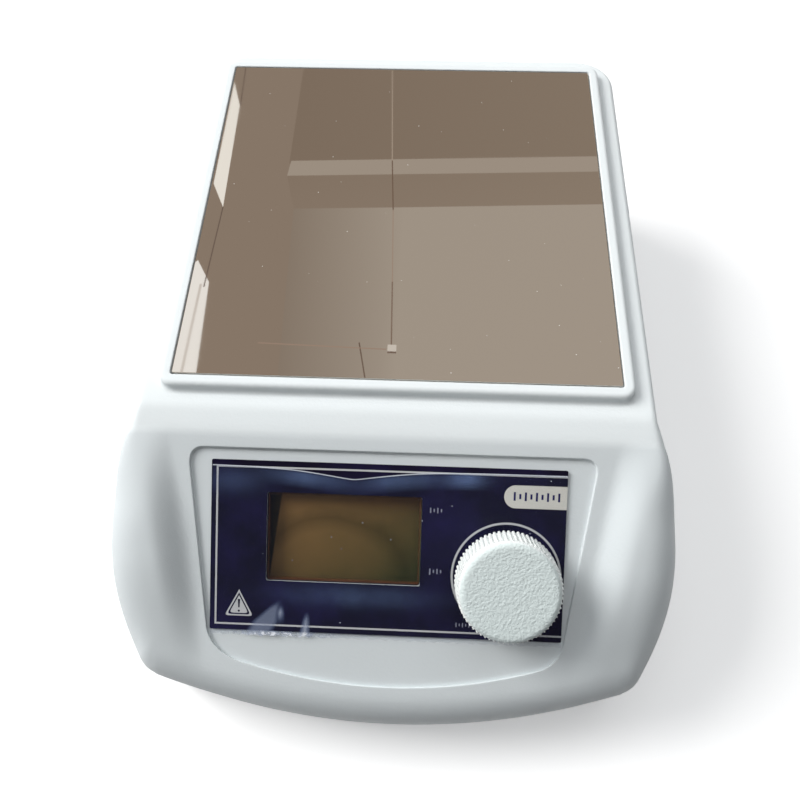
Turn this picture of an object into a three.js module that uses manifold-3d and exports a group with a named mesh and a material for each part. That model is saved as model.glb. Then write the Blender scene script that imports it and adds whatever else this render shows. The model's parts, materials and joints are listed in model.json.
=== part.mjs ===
// Magnetic stirrer: a bench unit with a square polished work plate, a sloping console with a
// display and a push-and-turn knob, and a motor that spins two magnets close under the plate.
//
// Millimetres, +Z up. The origin is on the surface that the feet stand on, under the middle of
// the unit. The console faces -Y (the front) and the power inlet and switch face +Y (the rear).

import * as THREE from 'three';
import { mergeVertices } from 'three/addons/utils/BufferGeometryUtils.js';
import Module from 'manifold-3d';

const wasm = await Module();
wasm.setup();

// ---------------------------------------------------------------- driving dimensions

// Casing
const FRONT_Y = -105.5;          // foremost point of the lip
const BACK_Y = 105.5;            // rear wall
const DECK_Z = 67;               // flat deck round the work plate
const RIM_Z = 70;                // raised rim that holds the work plate
const CASING_BOTTOM_Z = 5;       // lower edge of the casing's skirt
const SKIN = 2.5;                // wall thickness
const REAR_HALF_WIDTH = 69.2;    // half width from the rear to the crease
const REAR_CORNER_R = 12;
const WIDEST_HALF_WIDTH = 76;    // half width across the console's wings
const WIDEST_Y = -64.5;
const FLANK_R = 57;              // plan radius of the flanks in front of the widest place
const LIP_BOW_R = 220;           // plan radius of the front edge
const FRONT_CORNER = { x: 61.9, y: -88.3, r: 8, fromY: -92.4 };
const DECK_EDGE_R = 2;           // rounding of the deck's outer edge
const WING_EDGE_R = 11;          // rounding of the wings' outer edge
const LIP_R = 12;                // rounding of the front lip

// Console slope
const CREASE_Y = -32.6;          // where the deck ends
const BAND_END_Y = -38.6;        // where the steeper slope begins
const BAND_DROP = 2.05;
const SLOPE_DEG = 29.8;
const PANEL_ORIGIN = [0, -45.4, 61.05];   // middle of the label's upper edge, on the slope
const WING = { height: 5.4, run: 61, rise: 0.45, foot: 59.6, rake: 11.4, face: 8.5 };

// Work plate, centred over the motor
const PLATE_Y = 35.5;
const PLATE = 120;
const PLATE_T = 1.8;
const PLATE_GAP = 0.4;
const RIM_WIDTH = 3.2;
const RIM_CORNER_R = 3.4;
const RECESS_Z = 67.2;           // floor of the plate's recess
const DECK_OPENING_R = 46;       // opening in the deck over the magnets

// Console parts, in the panel's own frame: x to the right, y up the slope, z out of it
const POCKET_DEPTH = 1;
const POCKET_TOP = 3.1;
const LABEL = { x0: -47.9, x1: 46.1, y0: -45.9, y1: 0, t: 0.4 };
const FILM_T = 0.2;
const WINDOW = { x0: -33, x1: 8.2, y0: -32.3, y1: -8.3 };
const KNOB_AT = [30.6, -28.9];
const KNOB_R = 13.5;             // over the ribs, at the skirt
const KNOB_TOP_R = 13.3;
const KNOB_FACE_Z = 13;
const KNOB_FOOT_Z = 3.4;
const KNOB_WALL = 2.6;
const KNOB_RIBS = 68;
const RIB_DEPTH = 0.4;
const BUSHING_R = 3.5;
const SHAFT_R = 2.8;
const LABEL_HOLE_R = 9;          // round the knob's bushing
const BOARD_TOP = -11;           // display board, below the panel

// Drive
const MOTOR_R = 18;
const MOTOR_TOP_Z = 47.7;
const MOTOR_BOTTOM_Z = 19;
const MOTOR_SCREW_AT = 12.5;
const BEARING_SEAT_R = 6.3;
const BRACKET = { x: 96, y: 90, z0: 48, t: 1.6 };
const POST_AT = [40, 38];
const SPINDLE_R = 2;
const HOLDER_R = 28;
const HOLDER_Z = [52, 58.4];
const MAGNET_R = 8;
const MAGNET_AT = 17.5;
const MAGNET_TOP_Z = 62.4;

// Rear
const REAR_PANEL = { x: 42, z0: 20, z1: 44, floorY: 103.4 };
const JACK_AT = { x: 26, z: 32 };
const ROCKER_AT = { x: -20, z: 32 };
const ROCKER_PIVOT_Y = 100.4;
const ROCKER_HALF_WIDTH = 7.6;
const ROCKER_TILT_DEG = 7;

// Base
const BASE_Z = [5.4, 8];
const FOOT_R = 10;
const FOOT_PEG_R = 1.8;
const VENTS = { rows: 6, pitch: 10, width: 3, near: 8, far: 34 };
const FOOT_AT = { x: 48, rear: 71, front: -82 };
const CASE_SCREW_AT = { x: 58, rear: 88, front: -66 };
const MAIN_BOARD = { x0: -46, x1: 34, y0: -78, y1: -22, z0: 14, t: 1.6 };
const BOSS_R = 4;                // screw bosses and bracket posts
const PILOT_R = 1.5;             // holes that the screws bite into
const GAP = 0.3;                 // clearance between pieces that touch
const POST_Z = BRACKET.z0 + BRACKET.t + GAP;

// ---------------------------------------------------------------- materials

const finish = (color, roughness, metalness = 0) =>
  new THREE.MeshStandardMaterial({ color, roughness, metalness });
const WHITE_ABS = finish(0xdfe6e6, 0.5);
const KNOB_ABS = finish(0xdce3e1, 0.55);
const BLACK_ABS = finish(0x1c1c1e, 0.5);
const MIRROR = finish(0xa79a8c, 0.05, 1);
const NAVY_PRINT = finish(0x1a162a, 0.35);
const CLEAR_FILM = finish(0xd8dee6, 0.1);
const SMOKED_LENS = finish(0x4e4030, 0.15);
const LCD_GLASS = finish(0x5d6650, 0.1);
const FOAM = finish(0x2b2b2b, 0.9);
const STEEL = finish(0xb8bbbe, 0.35, 1);
const ZINC = finish(0xc9ccd0, 0.4, 1);
const ALUMINIUM = finish(0xc4c6c8, 0.4, 1);
const BRASS = finish(0xc2a25a, 0.35, 1);
const NICKEL = finish(0xd5d3cc, 0.2, 1);
const COPPER = finish(0xb4683a, 0.4, 1);
const BOARD_GREEN = finish(0x1d5a36, 0.45);
const RUBBER = finish(0x202020, 0.85);
const GREY_WIRE = finish(0x8f9499, 0.5);
const RED_WIRE = finish(0xb02a22, 0.5);
const BLACK_WIRE = finish(0x161616, 0.5);

// ---------------------------------------------------------------- shape helpers

// A closed three.js geometry as a solid, whichever way its faces were listed.
function solid(geometry) {
  const bare = geometry.clone();
  bare.deleteAttribute('normal');
  bare.deleteAttribute('uv');
  const merged = mergeVertices(bare, 1e-4);
  const triVerts = new Uint32Array(merged.index.array);
  const vertProperties = new Float32Array(merged.attributes.position.array);
  const made = new wasm.Manifold(new wasm.Mesh({ numProp: 3, vertProperties, triVerts }));
  if (made.volume() > 0) return made;
  for (let i = 0; i < triVerts.length; i += 3) {
    [triVerts[i + 1], triVerts[i + 2]] = [triVerts[i + 2], triVerts[i + 1]];
  }
  return new wasm.Manifold(new wasm.Mesh({ numProp: 3, vertProperties, triVerts }));
}

const join = (first, ...others) => others.reduce((whole, piece) => whole.add(piece), first);
const cut = (first, ...others) => others.reduce((whole, piece) => whole.subtract(piece), first);

// A solid as a three.js geometry.
function geometryOf(made) {
  const mesh = made.getMesh();
  const geometry = new THREE.BufferGeometry();
  geometry.setAttribute('position', new THREE.BufferAttribute(mesh.vertProperties, 3));
  geometry.setIndex(new THREE.BufferAttribute(mesh.triVerts, 1));
  geometry.computeVertexNormals();
  return geometry;
}

function box(x0, x1, y0, y1, z0, z1) {
  const geometry = new THREE.BoxGeometry(x1 - x0, y1 - y0, z1 - z0);
  return solid(geometry.translate((x0 + x1) / 2, (y0 + y1) / 2, (z0 + z1) / 2));
}

// An upright cylinder, or a cone when the two radii differ.
function rod(r, z0, z1, x = 0, y = 0, sides = 32, topR = r) {
  const geometry = new THREE.CylinderGeometry(topR, r, z1 - z0, sides);
  return solid(geometry.rotateX(Math.PI / 2).translate(x, y, (z0 + z1) / 2));
}

// A cylinder that lies along Y.
function rodY(r, y0, y1, x, z, sides = 24) {
  return solid(new THREE.CylinderGeometry(r, r, y1 - y0, sides).translate(x, (y0 + y1) / 2, z));
}

function ring(outerR, innerR, z0, z1, x = 0, y = 0, sides = 32) {
  return cut(rod(outerR, z0, z1, x, y, sides), rod(innerR, z0 - 1, z1 + 1, x, y, sides));
}

// A plate with round corners; a bevel rounds its upper and lower edges.
function roundedPlate(x0, x1, y0, y1, z0, z1, r, bevel = 0) {
  const shape = new THREE.Shape();
  const left = x0 + bevel;
  const right = x1 - bevel;
  const low = y0 + bevel;
  const high = y1 - bevel;
  shape.absarc(right - r, low + r, r, -Math.PI / 2, 0);
  shape.absarc(right - r, high - r, r, 0, Math.PI / 2);
  shape.absarc(left + r, high - r, r, Math.PI / 2, Math.PI);
  shape.absarc(left + r, low + r, r, Math.PI, Math.PI * 1.5);
  const options = { depth: z1 - z0 - 2 * bevel, curveSegments: 3, bevelEnabled: bevel > 0 };
  Object.assign(options, { bevelThickness: bevel, bevelSize: bevel, bevelSegments: 1 });
  return solid(new THREE.ExtrudeGeometry(shape, options).translate(0, 0, z0 + bevel));
}

// A round wire along points, with a step every few diameters.
function wire(points, r, steps = 14, sides = 6) {
  const section = new THREE.Shape();
  for (let i = 0; i < sides; i++) {
    const angle = (i / sides) * 2 * Math.PI;
    const corner = [r * Math.cos(angle), r * Math.sin(angle)];
    if (i === 0) section.moveTo(...corner);
    else section.lineTo(...corner);
  }
  const path = new THREE.CatmullRomCurve3(points.map((point) => new THREE.Vector3(...point)));
  return solid(new THREE.ExtrudeGeometry(section, { steps, extrudePath: path }));
}

const whole = new THREE.Group();
const panel = new THREE.Group();
panel.position.set(...PANEL_ORIGIN);
panel.rotation.x = THREE.MathUtils.degToRad(SLOPE_DEG);
whole.add(panel);

function place(name, made, material, group = whole) {
  const mesh = new THREE.Mesh(geometryOf(made), material);
  mesh.name = name;
  group.add(mesh);
}

// The same solid moved from the panel's frame into the unit's frame.
function fromPanel(made) {
  panel.updateMatrix();
  return made.transform(panel.matrix.elements);
}

// ---------------------------------------------------------------- casing surface

const clamp01 = (value) => Math.min(1, Math.max(0, value));
const smooth = (value) => clamp01(value) ** 2 * (3 - 2 * clamp01(value));
const slope = Math.tan(THREE.MathUtils.degToRad(SLOPE_DEG));

// Half width of the plan at y. The flanks are arcs that meet the straight rear sides.
function halfWidth(y) {
  const cornerY = BACK_Y - REAR_CORNER_R;
  if (y > cornerY) {
    const reach = Math.sqrt(Math.max(0, REAR_CORNER_R ** 2 - (y - cornerY) ** 2));
    return REAR_HALF_WIDTH - REAR_CORNER_R + reach;
  }
  if (y >= CREASE_Y) return REAR_HALF_WIDTH;
  if (y >= WIDEST_Y) {
    const bulge = WIDEST_HALF_WIDTH - REAR_HALF_WIDTH;
    const run = CREASE_Y - WIDEST_Y;
    const r = (run ** 2 + bulge ** 2) / (2 * bulge);
    return WIDEST_HALF_WIDTH - r + Math.sqrt(r ** 2 - (y - WIDEST_Y) ** 2);
  }
  const flank = WIDEST_HALF_WIDTH - FLANK_R + Math.sqrt(FLANK_R ** 2 - (y - WIDEST_Y) ** 2);
  const { x, y: cy, r, fromY } = FRONT_CORNER;
  return y > fromY ? flank : x + Math.sqrt(Math.max(0, r ** 2 - (y - cy) ** 2));
}

const frontEdge = (x) => FRONT_Y + x ** 2 / (2 * LIP_BOW_R);
const slopeZ = (y) => PANEL_ORIGIN[2] + (y - PANEL_ORIGIN[1]) * slope;

// How far a rounded edge of radius r has dropped at a distance from the wall.
function edgeDrop(distance, r) {
  if (distance >= r) return 0;
  return r - Math.sqrt(Math.max(0, r ** 2 - (r - Math.max(0, distance)) ** 2));
}

// Height of the wings that flank the console. Each rises from a valley that runs inwards on its
// way down, steepest close to the valley, and dies away in front of the corner.
function wing(x, y) {
  const down = clamp01((BAND_END_Y - y) / WING.run);
  const foot = WING.foot - WING.rake * down;
  const rise = Math.sin((Math.PI / 2) * Math.min(1, down / WING.rise));
  const across = clamp01((Math.abs(x) - foot) / WING.face) ** 0.7;
  return WING.height * rise * smooth((1 - down) / 0.5) * smooth(across);
}

// Height of the casing's outer surface.
function topZ(x, y) {
  const edge = frontEdge(x);
  const sideGap = halfWidth(y) - Math.abs(x);
  if (y >= CREASE_Y) return DECK_Z - edgeDrop(Math.min(sideGap, BACK_Y - y), DECK_EDGE_R);
  if (y >= BAND_END_Y) {
    const along = (CREASE_Y - y) / (CREASE_Y - BAND_END_Y);
    return DECK_Z - BAND_DROP * along - edgeDrop(sideGap, DECK_EDGE_R + 1.5 * along);
  }
  const down = clamp01((BAND_END_Y - y) / 20);
  const sideR = DECK_EDGE_R + 1.5 + (WING_EDGE_R - DECK_EDGE_R - 1.5) * smooth(down);
  const lean = THREE.MathUtils.degToRad(90 + SLOPE_DEG);
  const lipRun = LIP_R * (1 + Math.cos(lean));
  const lipCentreZ = slopeZ(edge + lipRun) - LIP_R * Math.sin(lean);
  const fromEdge = Math.max(0, y - edge);
  const lipZ = lipCentreZ + Math.sqrt(Math.max(0, LIP_R ** 2 - (LIP_R - fromEdge) ** 2));
  const faceZ = fromEdge < lipRun ? lipZ : slopeZ(y);
  return faceZ + wing(x, y) - edgeDrop(sideGap, sideR);
}

// Rows of the surface from the rear wall to the lip: y on the centre line and y at the flanks.
function surfaceRows() {
  const rows = [];
  const cornerY = BACK_Y - REAR_CORNER_R;
  for (let i = 4; i >= 0; i--) {
    const y = cornerY + REAR_CORNER_R * Math.sin((i / 4) * (Math.PI / 2));
    rows.push([y, y]);
  }
  [CREASE_Y, -36, BAND_END_Y, -45, -51, -57, WIDEST_Y, -72].forEach((y) => rows.push([y, y]));
  rows.push([-80, -78], [-88, -83.4], [-94.6, -87.6], [-98.5, -90.2], [-101.2, -92]);
  rows.push([-103.2, -93.4], [-104.6, -94.6], [-105.3, -95.5], [FRONT_Y, -96]);
  return rows;
}

const FROM_FLANK = [0, 0.8, 2, 4, 7, 11, 13.5, 16, 19, 22, 36, 52];

// The casing's outer form as a closed solid, or its cavity when a wall is taken off.
function casingForm(wall, bottomZ) {
  const points = [];
  const columns = FROM_FLANK.length * 2 + 1;
  const rows = surfaceRows();
  rows.forEach(([midY, flankY]) => {
    const w = halfWidth(flankY);
    const xs = [...FROM_FLANK.map((d) => d - w), 0, ...FROM_FLANK.map((d) => w - d).reverse()];
    xs.forEach((x) => {
      const y = midY + (flankY - midY) * (x / w) ** 2;
      const z = topZ(x, y) - wall;
      points.push([x * (1 - wall / w), y * (1 - wall / BACK_Y), z]);
    });
  });
  const at = (row, column) => row * columns + column;
  const faces = [];
  for (let row = 0; row + 1 < rows.length; row++) {
    for (let column = 0; column + 1 < columns; column++) {
      const [a, b] = [at(row, column), at(row, column + 1)];
      const [c, d] = [at(row + 1, column + 1), at(row + 1, column)];
      faces.push([a, c, b], [a, d, c]);
    }
  }
  const rim = [];
  for (let column = 0; column < columns; column++) rim.push(at(0, column));
  for (let row = 1; row < rows.length; row++) rim.push(at(row, columns - 1));
  for (let column = columns - 2; column >= 0; column--) rim.push(at(rows.length - 1, column));
  for (let row = rows.length - 2; row > 0; row--) rim.push(at(row, 0));
  const below = rim.map((index) => points.push([points[index][0], points[index][1], bottomZ]) - 1);
  const centre = points.push([0, 0, bottomZ]) - 1;
  rim.forEach((index, i) => {
    const next = (i + 1) % rim.length;
    faces.push([index, rim[next], below[next]], [index, below[next], below[i]]);
    faces.push([centre, below[i], below[next]]);
  });
  const geometry = new THREE.BufferGeometry();
  geometry.setAttribute('position', new THREE.Float32BufferAttribute(points.flat(), 3));
  geometry.setIndex(faces.flat());
  return solid(geometry);
}

// ---------------------------------------------------------------- casing

const cornersOf = ({ x, rear, front }) => [[-x, rear], [x, rear], [-x, front], [x, front]];
const CORNER_NAMES = ['rear_left', 'rear_right', 'front_left', 'front_right'];
const postPlaces = [-1, 1].flatMap((sy) => [-1, 1].map((sx) =>
  [sx * POST_AT[0], PLATE_Y + sy * POST_AT[1]]));

// The display board hangs on four stems: two take screws and two end in pegs.
const displayScrews = [[-39, -6], [41, -42]];
const displayPegs = [[41, -6], [-39, -42]];
const displayHoles = [...displayScrews, ...displayPegs];

function pocketCutter() {
  const shape = new THREE.Shape();
  shape.moveTo(-49.8, POCKET_TOP);
  shape.lineTo(49.7, POCKET_TOP);
  shape.quadraticCurveTo(53.9, POCKET_TOP, 53.6, -1.2);
  shape.quadraticCurveTo(50.3, -23, 46.9, -45.5);
  shape.quadraticCurveTo(46.2, -52.2, 40, -54.2);
  shape.quadraticCurveTo(1.1, -66, -39.5, -54.8);
  shape.quadraticCurveTo(-47.2, -52.4, -48.7, -46);
  shape.quadraticCurveTo(-51.4, -23, -53.8, -2);
  shape.quadraticCurveTo(-54.2, POCKET_TOP, -49.8, POCKET_TOP);
  const options = { depth: 20, bevelEnabled: false, curveSegments: 6 };
  return solid(new THREE.ExtrudeGeometry(shape, options).translate(0, 0, -POCKET_DEPTH));
}

function upperHousing() {
  const shell = cut(casingForm(0, CASING_BOTTOM_Z), casingForm(SKIN, -5));
  const out = PLATE / 2 + PLATE_GAP;
  const rimOut = out + RIM_WIDTH;
  const rimBox = [-rimOut, rimOut, PLATE_Y - rimOut, PLATE_Y + rimOut];
  const rim = roundedPlate(...rimBox, DECK_Z - 1.5, RIM_Z, RIM_CORNER_R, 0.6);
  const recess = box(-out, out, PLATE_Y - out, PLATE_Y + out, RECESS_Z, RIM_Z + 1);
  const opening = rod(DECK_OPENING_R, RECESS_Z - 10, RECESS_Z + 1, 0, PLATE_Y, 48);
  const underSkin = casingForm(SKIN / 2, CASING_BOTTOM_Z);
  const bosses = cornersOf(CASE_SCREW_AT).map(([x, y]) =>
    rod(BOSS_R, BASE_Z[1] + GAP, RIM_Z, x, y, 16).intersect(underSkin));
  const bossHoles = cornersOf(CASE_SCREW_AT).map(([x, y]) => rod(PILOT_R, 0, 20, x, y, 12));
  const posts = postPlaces.map(([x, y]) => rod(BOSS_R, POST_Z, DECK_Z - 1, x, y, 16));
  const postHoles = postPlaces.map(([x, y]) => rod(PILOT_R, BRACKET.z0, 60, x, y, 12));
  const { x, z0, z1, floorY } = REAR_PANEL;
  const backing = box(-x - 3, x + 3, floorY - 2.6, floorY + 1, z0 - 3, z1 + 3);
  const rearRecess = box(-x, x, floorY, BACK_Y + 1, z0, z1);
  const jackHole = rodY(4.3, 98, 107, JACK_AT.x, JACK_AT.z);
  const { x: rx, z: rz } = ROCKER_AT;
  const rockerHole = box(rx - 9.8, rx + 9.8, 98, 107, rz - 6.6, rz + 6.6);
  const windowHole = box(WINDOW.x0, WINDOW.x1, WINDOW.y0, WINDOW.y1, -8, 2);
  const knobHole = rod(BUSHING_R + GAP, -8, 2, ...KNOB_AT, 24);
  const stems = displayHoles.map(([sx, sy]) => rod(2.6, BOARD_TOP + GAP, -SKIN, sx, sy, 12));
  const pegs = displayPegs.map(([sx, sy]) => rod(1.2, BOARD_TOP - 2.6, -8, sx, sy, 12));
  const pilots = displayScrews.map(([sx, sy]) => rod(1.3, BOARD_TOP, -4.4, sx, sy, 12));
  const filled = join(shell, rim, backing, ...bosses, ...posts, ...[...stems, ...pegs].map(fromPanel));
  const panelCuts = [pocketCutter(), windowHole, knobHole, ...pilots].map(fromPanel);
  const rearCuts = [rearRecess, jackHole, rockerHole];
  return cut(filled, recess, opening, ...bossHoles, ...postHoles, ...panelCuts, ...rearCuts);
}

function basePlate() {
  const inset = SKIN + 0.4;
  const floor = casingForm(inset, BASE_Z[0]).intersect(box(-90, 90, -120, 120, BASE_Z[0], BASE_Z[1]));
  const slots = [];
  for (let i = 0; i < VENTS.rows; i++) {
    const y = PLATE_Y + (i - (VENTS.rows - 1) / 2) * VENTS.pitch;
    [-1, 1].forEach((side) => {
      const [x0, x1] = [side * VENTS.near, side * VENTS.far].sort((a, b) => a - b);
      slots.push(box(x0, x1, y - VENTS.width / 2, y + VENTS.width / 2, 0, 20));
    });
  }
  const footHoles = cornersOf(FOOT_AT).map(([x, y]) => rod(FOOT_PEG_R + 0.4, 0, 20, x, y, 12));
  const screws = cornersOf(CASE_SCREW_AT);
  const screwHoles = screws.map(([x, y]) => rod(1.7, 0, 20, x, y, 12));
  const headPockets = screws.map(([x, y]) => rod(3.4, 0, BASE_Z[0] + 1.2, x, y, 16));
  const standoffs = boardCorners().map(([x, y]) =>
    rod(2.8, BASE_Z[1] - 0.5, MAIN_BOARD.z0 - GAP, x, y, 12));
  const pilots = boardCorners().map(([x, y]) => rod(1.1, BASE_Z[1], 20, x, y, 10));
  return cut(join(floor, ...standoffs), ...slots, ...footHoles, ...screwHoles, ...headPockets,
    ...pilots);
}

function boardCorners() {
  const { x0, x1, y0, y1 } = MAIN_BOARD;
  return [[x0 + 4, y0 + 4], [x1 - 4, y0 + 4], [x0 + 4, y1 - 4], [x1 - 4, y1 - 4]];
}

// A pan-head screw that points up, its head at the bottom.
function screwUp(headR, headZ, headT, shankR, tipZ, x, y) {
  const head = rod(headR, headZ, headZ + headT, x, y, 16);
  const shank = rod(shankR, headZ + headT - 0.2, tipZ, x, y, 10);
  const drive = join(box(x - 1.4, x + 1.4, y - 0.35, y + 0.35, headZ - 1, headZ + 0.7),
    box(x - 0.35, x + 0.35, y - 1.4, y + 1.4, headZ - 1, headZ + 0.7));
  return cut(join(head, shank), drive);
}

// A pan-head screw that points down, its head on top.
function screwDown(headR, headZ, headT, shankR, tipZ, x, y) {
  const head = rod(headR, headZ, headZ + headT, x, y, 16);
  const shank = rod(shankR, tipZ, headZ + 0.2, x, y, 10);
  const drive = join(box(x - 1.2, x + 1.2, y - 0.3, y + 0.3, headZ + headT - 0.7, headZ + 9),
    box(x - 0.3, x + 0.3, y - 1.2, y + 1.2, headZ + headT - 0.7, headZ + 9));
  return cut(join(head, shank), drive);
}

function foot(x, y) {
  const pad = rod(FOOT_R - 1.2, 0, BASE_Z[0] - GAP, x, y, 24, FOOT_R);
  const peg = rod(FOOT_PEG_R, 4, BASE_Z[1] + 2.5, x, y, 10);
  return cut(join(pad, peg), rod(4, -1, 1, x, y, 16));
}

place('upper_housing', upperHousing(), WHITE_ABS);
place('base_plate', basePlate(), BLACK_ABS);
cornersOf(FOOT_AT).forEach(([x, y], i) => place(`foot_${CORNER_NAMES[i]}`, foot(x, y), RUBBER));
cornersOf(CASE_SCREW_AT).forEach(([x, y], i) => {
  const made = screwUp(2.9, BASE_Z[0] - 0.7, 1.6, 1.2, 17, x, y);
  place(`case_screw_${CORNER_NAMES[i]}`, made, ZINC);
});

// ---------------------------------------------------------------- work plate

const padZ = [RECESS_Z + 0.15, RECESS_Z + 0.75];
const half = PLATE / 2;
const plateBox = [-half, half, PLATE_Y - half, PLATE_Y + half];
place('work_plate', box(...plateBox, padZ[1] + 0.15, padZ[1] + 0.15 + PLATE_T), MIRROR);
const tapeHalf = half - 4;
const foam = roundedPlate(-tapeHalf, tapeHalf, PLATE_Y - tapeHalf, PLATE_Y + tapeHalf, ...padZ, 3);
place('plate_foam_tape', cut(foam, rod(DECK_OPENING_R + 2, 60, 80, 0, PLATE_Y, 48)), FOAM);

// ---------------------------------------------------------------- drive

function motorBracket() {
  const { x, y, z0, t } = BRACKET;
  const plate = roundedPlate(-x / 2, x / 2, PLATE_Y - y / 2, PLATE_Y + y / 2, z0, z0 + t, 5);
  const bore = rod(8.3, 0, 60, 0, PLATE_Y, 28);
  const windows = [[-40, -24], [24, 40]].map(([x0, x1]) =>
    roundedPlate(x0, x1, PLATE_Y - 22, PLATE_Y + 22, 40, 60, 3));
  const holes = postPlaces.map(([px, py]) => rod(1.8, 0, 60, px, py, 12));
  const motorHoles = [-1, 1].map((side) => rod(1.8, 0, 60, 0, PLATE_Y + side * MOTOR_SCREW_AT, 12));
  return cut(plate, bore, ...windows, ...holes, ...motorHoles);
}

function motorCan() {
  const outer = rod(MOTOR_R, MOTOR_BOTTOM_Z, MOTOR_TOP_Z - 4.3, 0, PLATE_Y, 40);
  const boss = rod(7.5, MOTOR_BOTTOM_Z - 2.5, MOTOR_BOTTOM_Z + 1, 0, PLATE_Y, 28);
  const inside = rod(MOTOR_R - 1.1, MOTOR_BOTTOM_Z + 1.4, MOTOR_TOP_Z, 0, PLATE_Y, 40);
  const seat = rod(BEARING_SEAT_R, MOTOR_BOTTOM_Z - 1.6, MOTOR_BOTTOM_Z + 4, 0, PLATE_Y, 24);
  return cut(join(outer, boss), inside, seat);
}

function motorEndCap() {
  const disc = rod(MOTOR_R, MOTOR_TOP_Z - 4, MOTOR_TOP_Z, 0, PLATE_Y, 40);
  const spigot = rod(8, MOTOR_TOP_Z - 0.5, BRACKET.z0 + BRACKET.t + 0.6, 0, PLATE_Y, 28);
  const seat = rod(BEARING_SEAT_R, MOTOR_TOP_Z - 5, MOTOR_TOP_Z - 0.6, 0, PLATE_Y, 24);
  const bore = rod(SPINDLE_R + 0.8, 30, 60, 0, PLATE_Y, 20);
  const taps = [-1, 1].map((side) => rod(PILOT_R, 30, 60, 0, PLATE_Y + side * MOTOR_SCREW_AT, 12));
  return cut(join(disc, spigot), seat, bore, ...taps);
}

function stator() {
  const body = ring(MOTOR_R - 1.5, 10.6, 25, 39, 0, PLATE_Y, 40);
  const slots = [];
  for (let i = 0; i < 6; i++) {
    const slot = rod(2.6, 20, 45, 13.4, 0, 8).rotate([0, 0, i * 60 + 30]);
    slots.push(slot.translate([0, PLATE_Y, 0]));
  }
  return cut(body, ...slots);
}

// Ball bearing as one ring with a groove on both faces between its races.
function bearing(z0, z1) {
  const body = ring(BEARING_SEAT_R - GAP, SPINDLE_R + GAP, z0, z1, 0, PLATE_Y, 20);
  const grooves = [ring(4.9, 3.6, z0 - 1, z0 + 0.5, 0, PLATE_Y, 20),
    ring(4.9, 3.6, z1 - 0.5, z1 + 1, 0, PLATE_Y, 20)];
  return cut(body, ...grooves);
}

function magnetHolder() {
  const disc = rod(HOLDER_R, HOLDER_Z[0], HOLDER_Z[1], 0, PLATE_Y, 48);
  const hub = rod(6.5, HOLDER_Z[0] - 1.2, HOLDER_Z[0] + 1, 0, PLATE_Y, 24);
  const flats = [-1, 1].map((side) =>
    box(-40, 40, PLATE_Y + (side < 0 ? -40 : 12), PLATE_Y + (side < 0 ? -12 : 40), 50, 70));
  const bore = rod(SPINDLE_R + GAP, 40, 70, 0, PLATE_Y, 20);
  const seats = [-1, 1].map((side) =>
    rod(MAGNET_R + GAP, HOLDER_Z[1] - 3, 70, side * MAGNET_AT, PLATE_Y, 32));
  const screwHole = box(-1.8, 1.8, PLATE_Y + 1, PLATE_Y + 20, HOLDER_Z[0] + 1.4, HOLDER_Z[0] + 5);
  return cut(join(disc, hub), ...flats, bore, ...seats, screwHole);
}

function setScrew() {
  const body = rodY(1.5, PLATE_Y + 2.4, PLATE_Y + 9, 0, HOLDER_Z[0] + 3.2, 14);
  return cut(body, rodY(0.75, PLATE_Y + 7, PLATE_Y + 12, 0, HOLDER_Z[0] + 3.2, 6));
}

function spindle() {
  const shaft = rod(SPINDLE_R, MOTOR_BOTTOM_Z - 1, HOLDER_Z[1] + 0.6, 0, PLATE_Y, 20);
  const flat = box(-5, 5, PLATE_Y + SPINDLE_R - 0.3, PLATE_Y + 5, 51, 70);
  return cut(shaft, flat);
}

place('motor_bracket', motorBracket(), STEEL);
postPlaces.forEach(([x, y], i) => {
  const made = screwUp(3, BRACKET.z0 - 2.1, 1.8, 1.2, 58, x, y);
  place(`bracket_screw_${i + 1}`, made, ZINC);
});
place('motor_can', motorCan(), STEEL);
place('motor_end_cap', motorEndCap(), ALUMINIUM);
[-1, 1].forEach((side, i) => {
  const made = screwDown(2.7, POST_Z, 1.3, 1.2, 44.6, 0, PLATE_Y + side * MOTOR_SCREW_AT);
  place(`motor_screw_${i + 1}`, made, ZINC);
});
place('stator', stator(), COPPER);
place('rotor_core', ring(9.9, SPINDLE_R + GAP, 24, 40, 0, PLATE_Y, 32), STEEL);
place('bearing_lower', bearing(MOTOR_BOTTOM_Z - 1.3, MOTOR_BOTTOM_Z + 2.6), NICKEL);
place('bearing_upper', bearing(MOTOR_TOP_Z - 4.8, MOTOR_TOP_Z - 0.9), NICKEL);
place('motor_spindle', spindle(), STEEL);
place('magnet_holder', magnetHolder(), ALUMINIUM);
place('holder_set_screw', setScrew(), ZINC);
['left', 'right'].forEach((side, i) => {
  const x = (2 * i - 1) * MAGNET_AT;
  const magnet = rod(MAGNET_R, HOLDER_Z[1] - 2.7, MAGNET_TOP_Z, x, PLATE_Y, 32);
  place(`magnet_${side}`, magnet, NICKEL);
});

// ---------------------------------------------------------------- console

function panelLabel() {
  const { x0, x1, y0, y1, t } = LABEL;
  const z0 = GAP - POCKET_DEPTH;
  const sheet = box(x0, x1, y0, y1, z0, z0 + t);
  const lens = box(WINDOW.x0, WINDOW.x1, WINDOW.y0, WINDOW.y1, -5, 5);
  return cut(sheet, lens, rod(LABEL_HOLE_R, -5, 5, ...KNOB_AT, 32));
}

function protectiveFilm() {
  const { x0, x1, y0, y1, t } = LABEL;
  const z0 = 2 * GAP - POCKET_DEPTH + t;
  const sheet = box(x0 + 0.2, x1, y0 - 1.4, y1 - 0.4, z0, z0 + FILM_T);
  return cut(sheet, rod(LABEL_HOLE_R, -5, 5, ...KNOB_AT, 32));
}

function displayLens() {
  const { x0, x1, y0, y1 } = WINDOW;
  return box(x0 + GAP, x1 - GAP, y0 + GAP, y1 - GAP, -2.8, -POCKET_DEPTH - 0.1);
}

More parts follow.
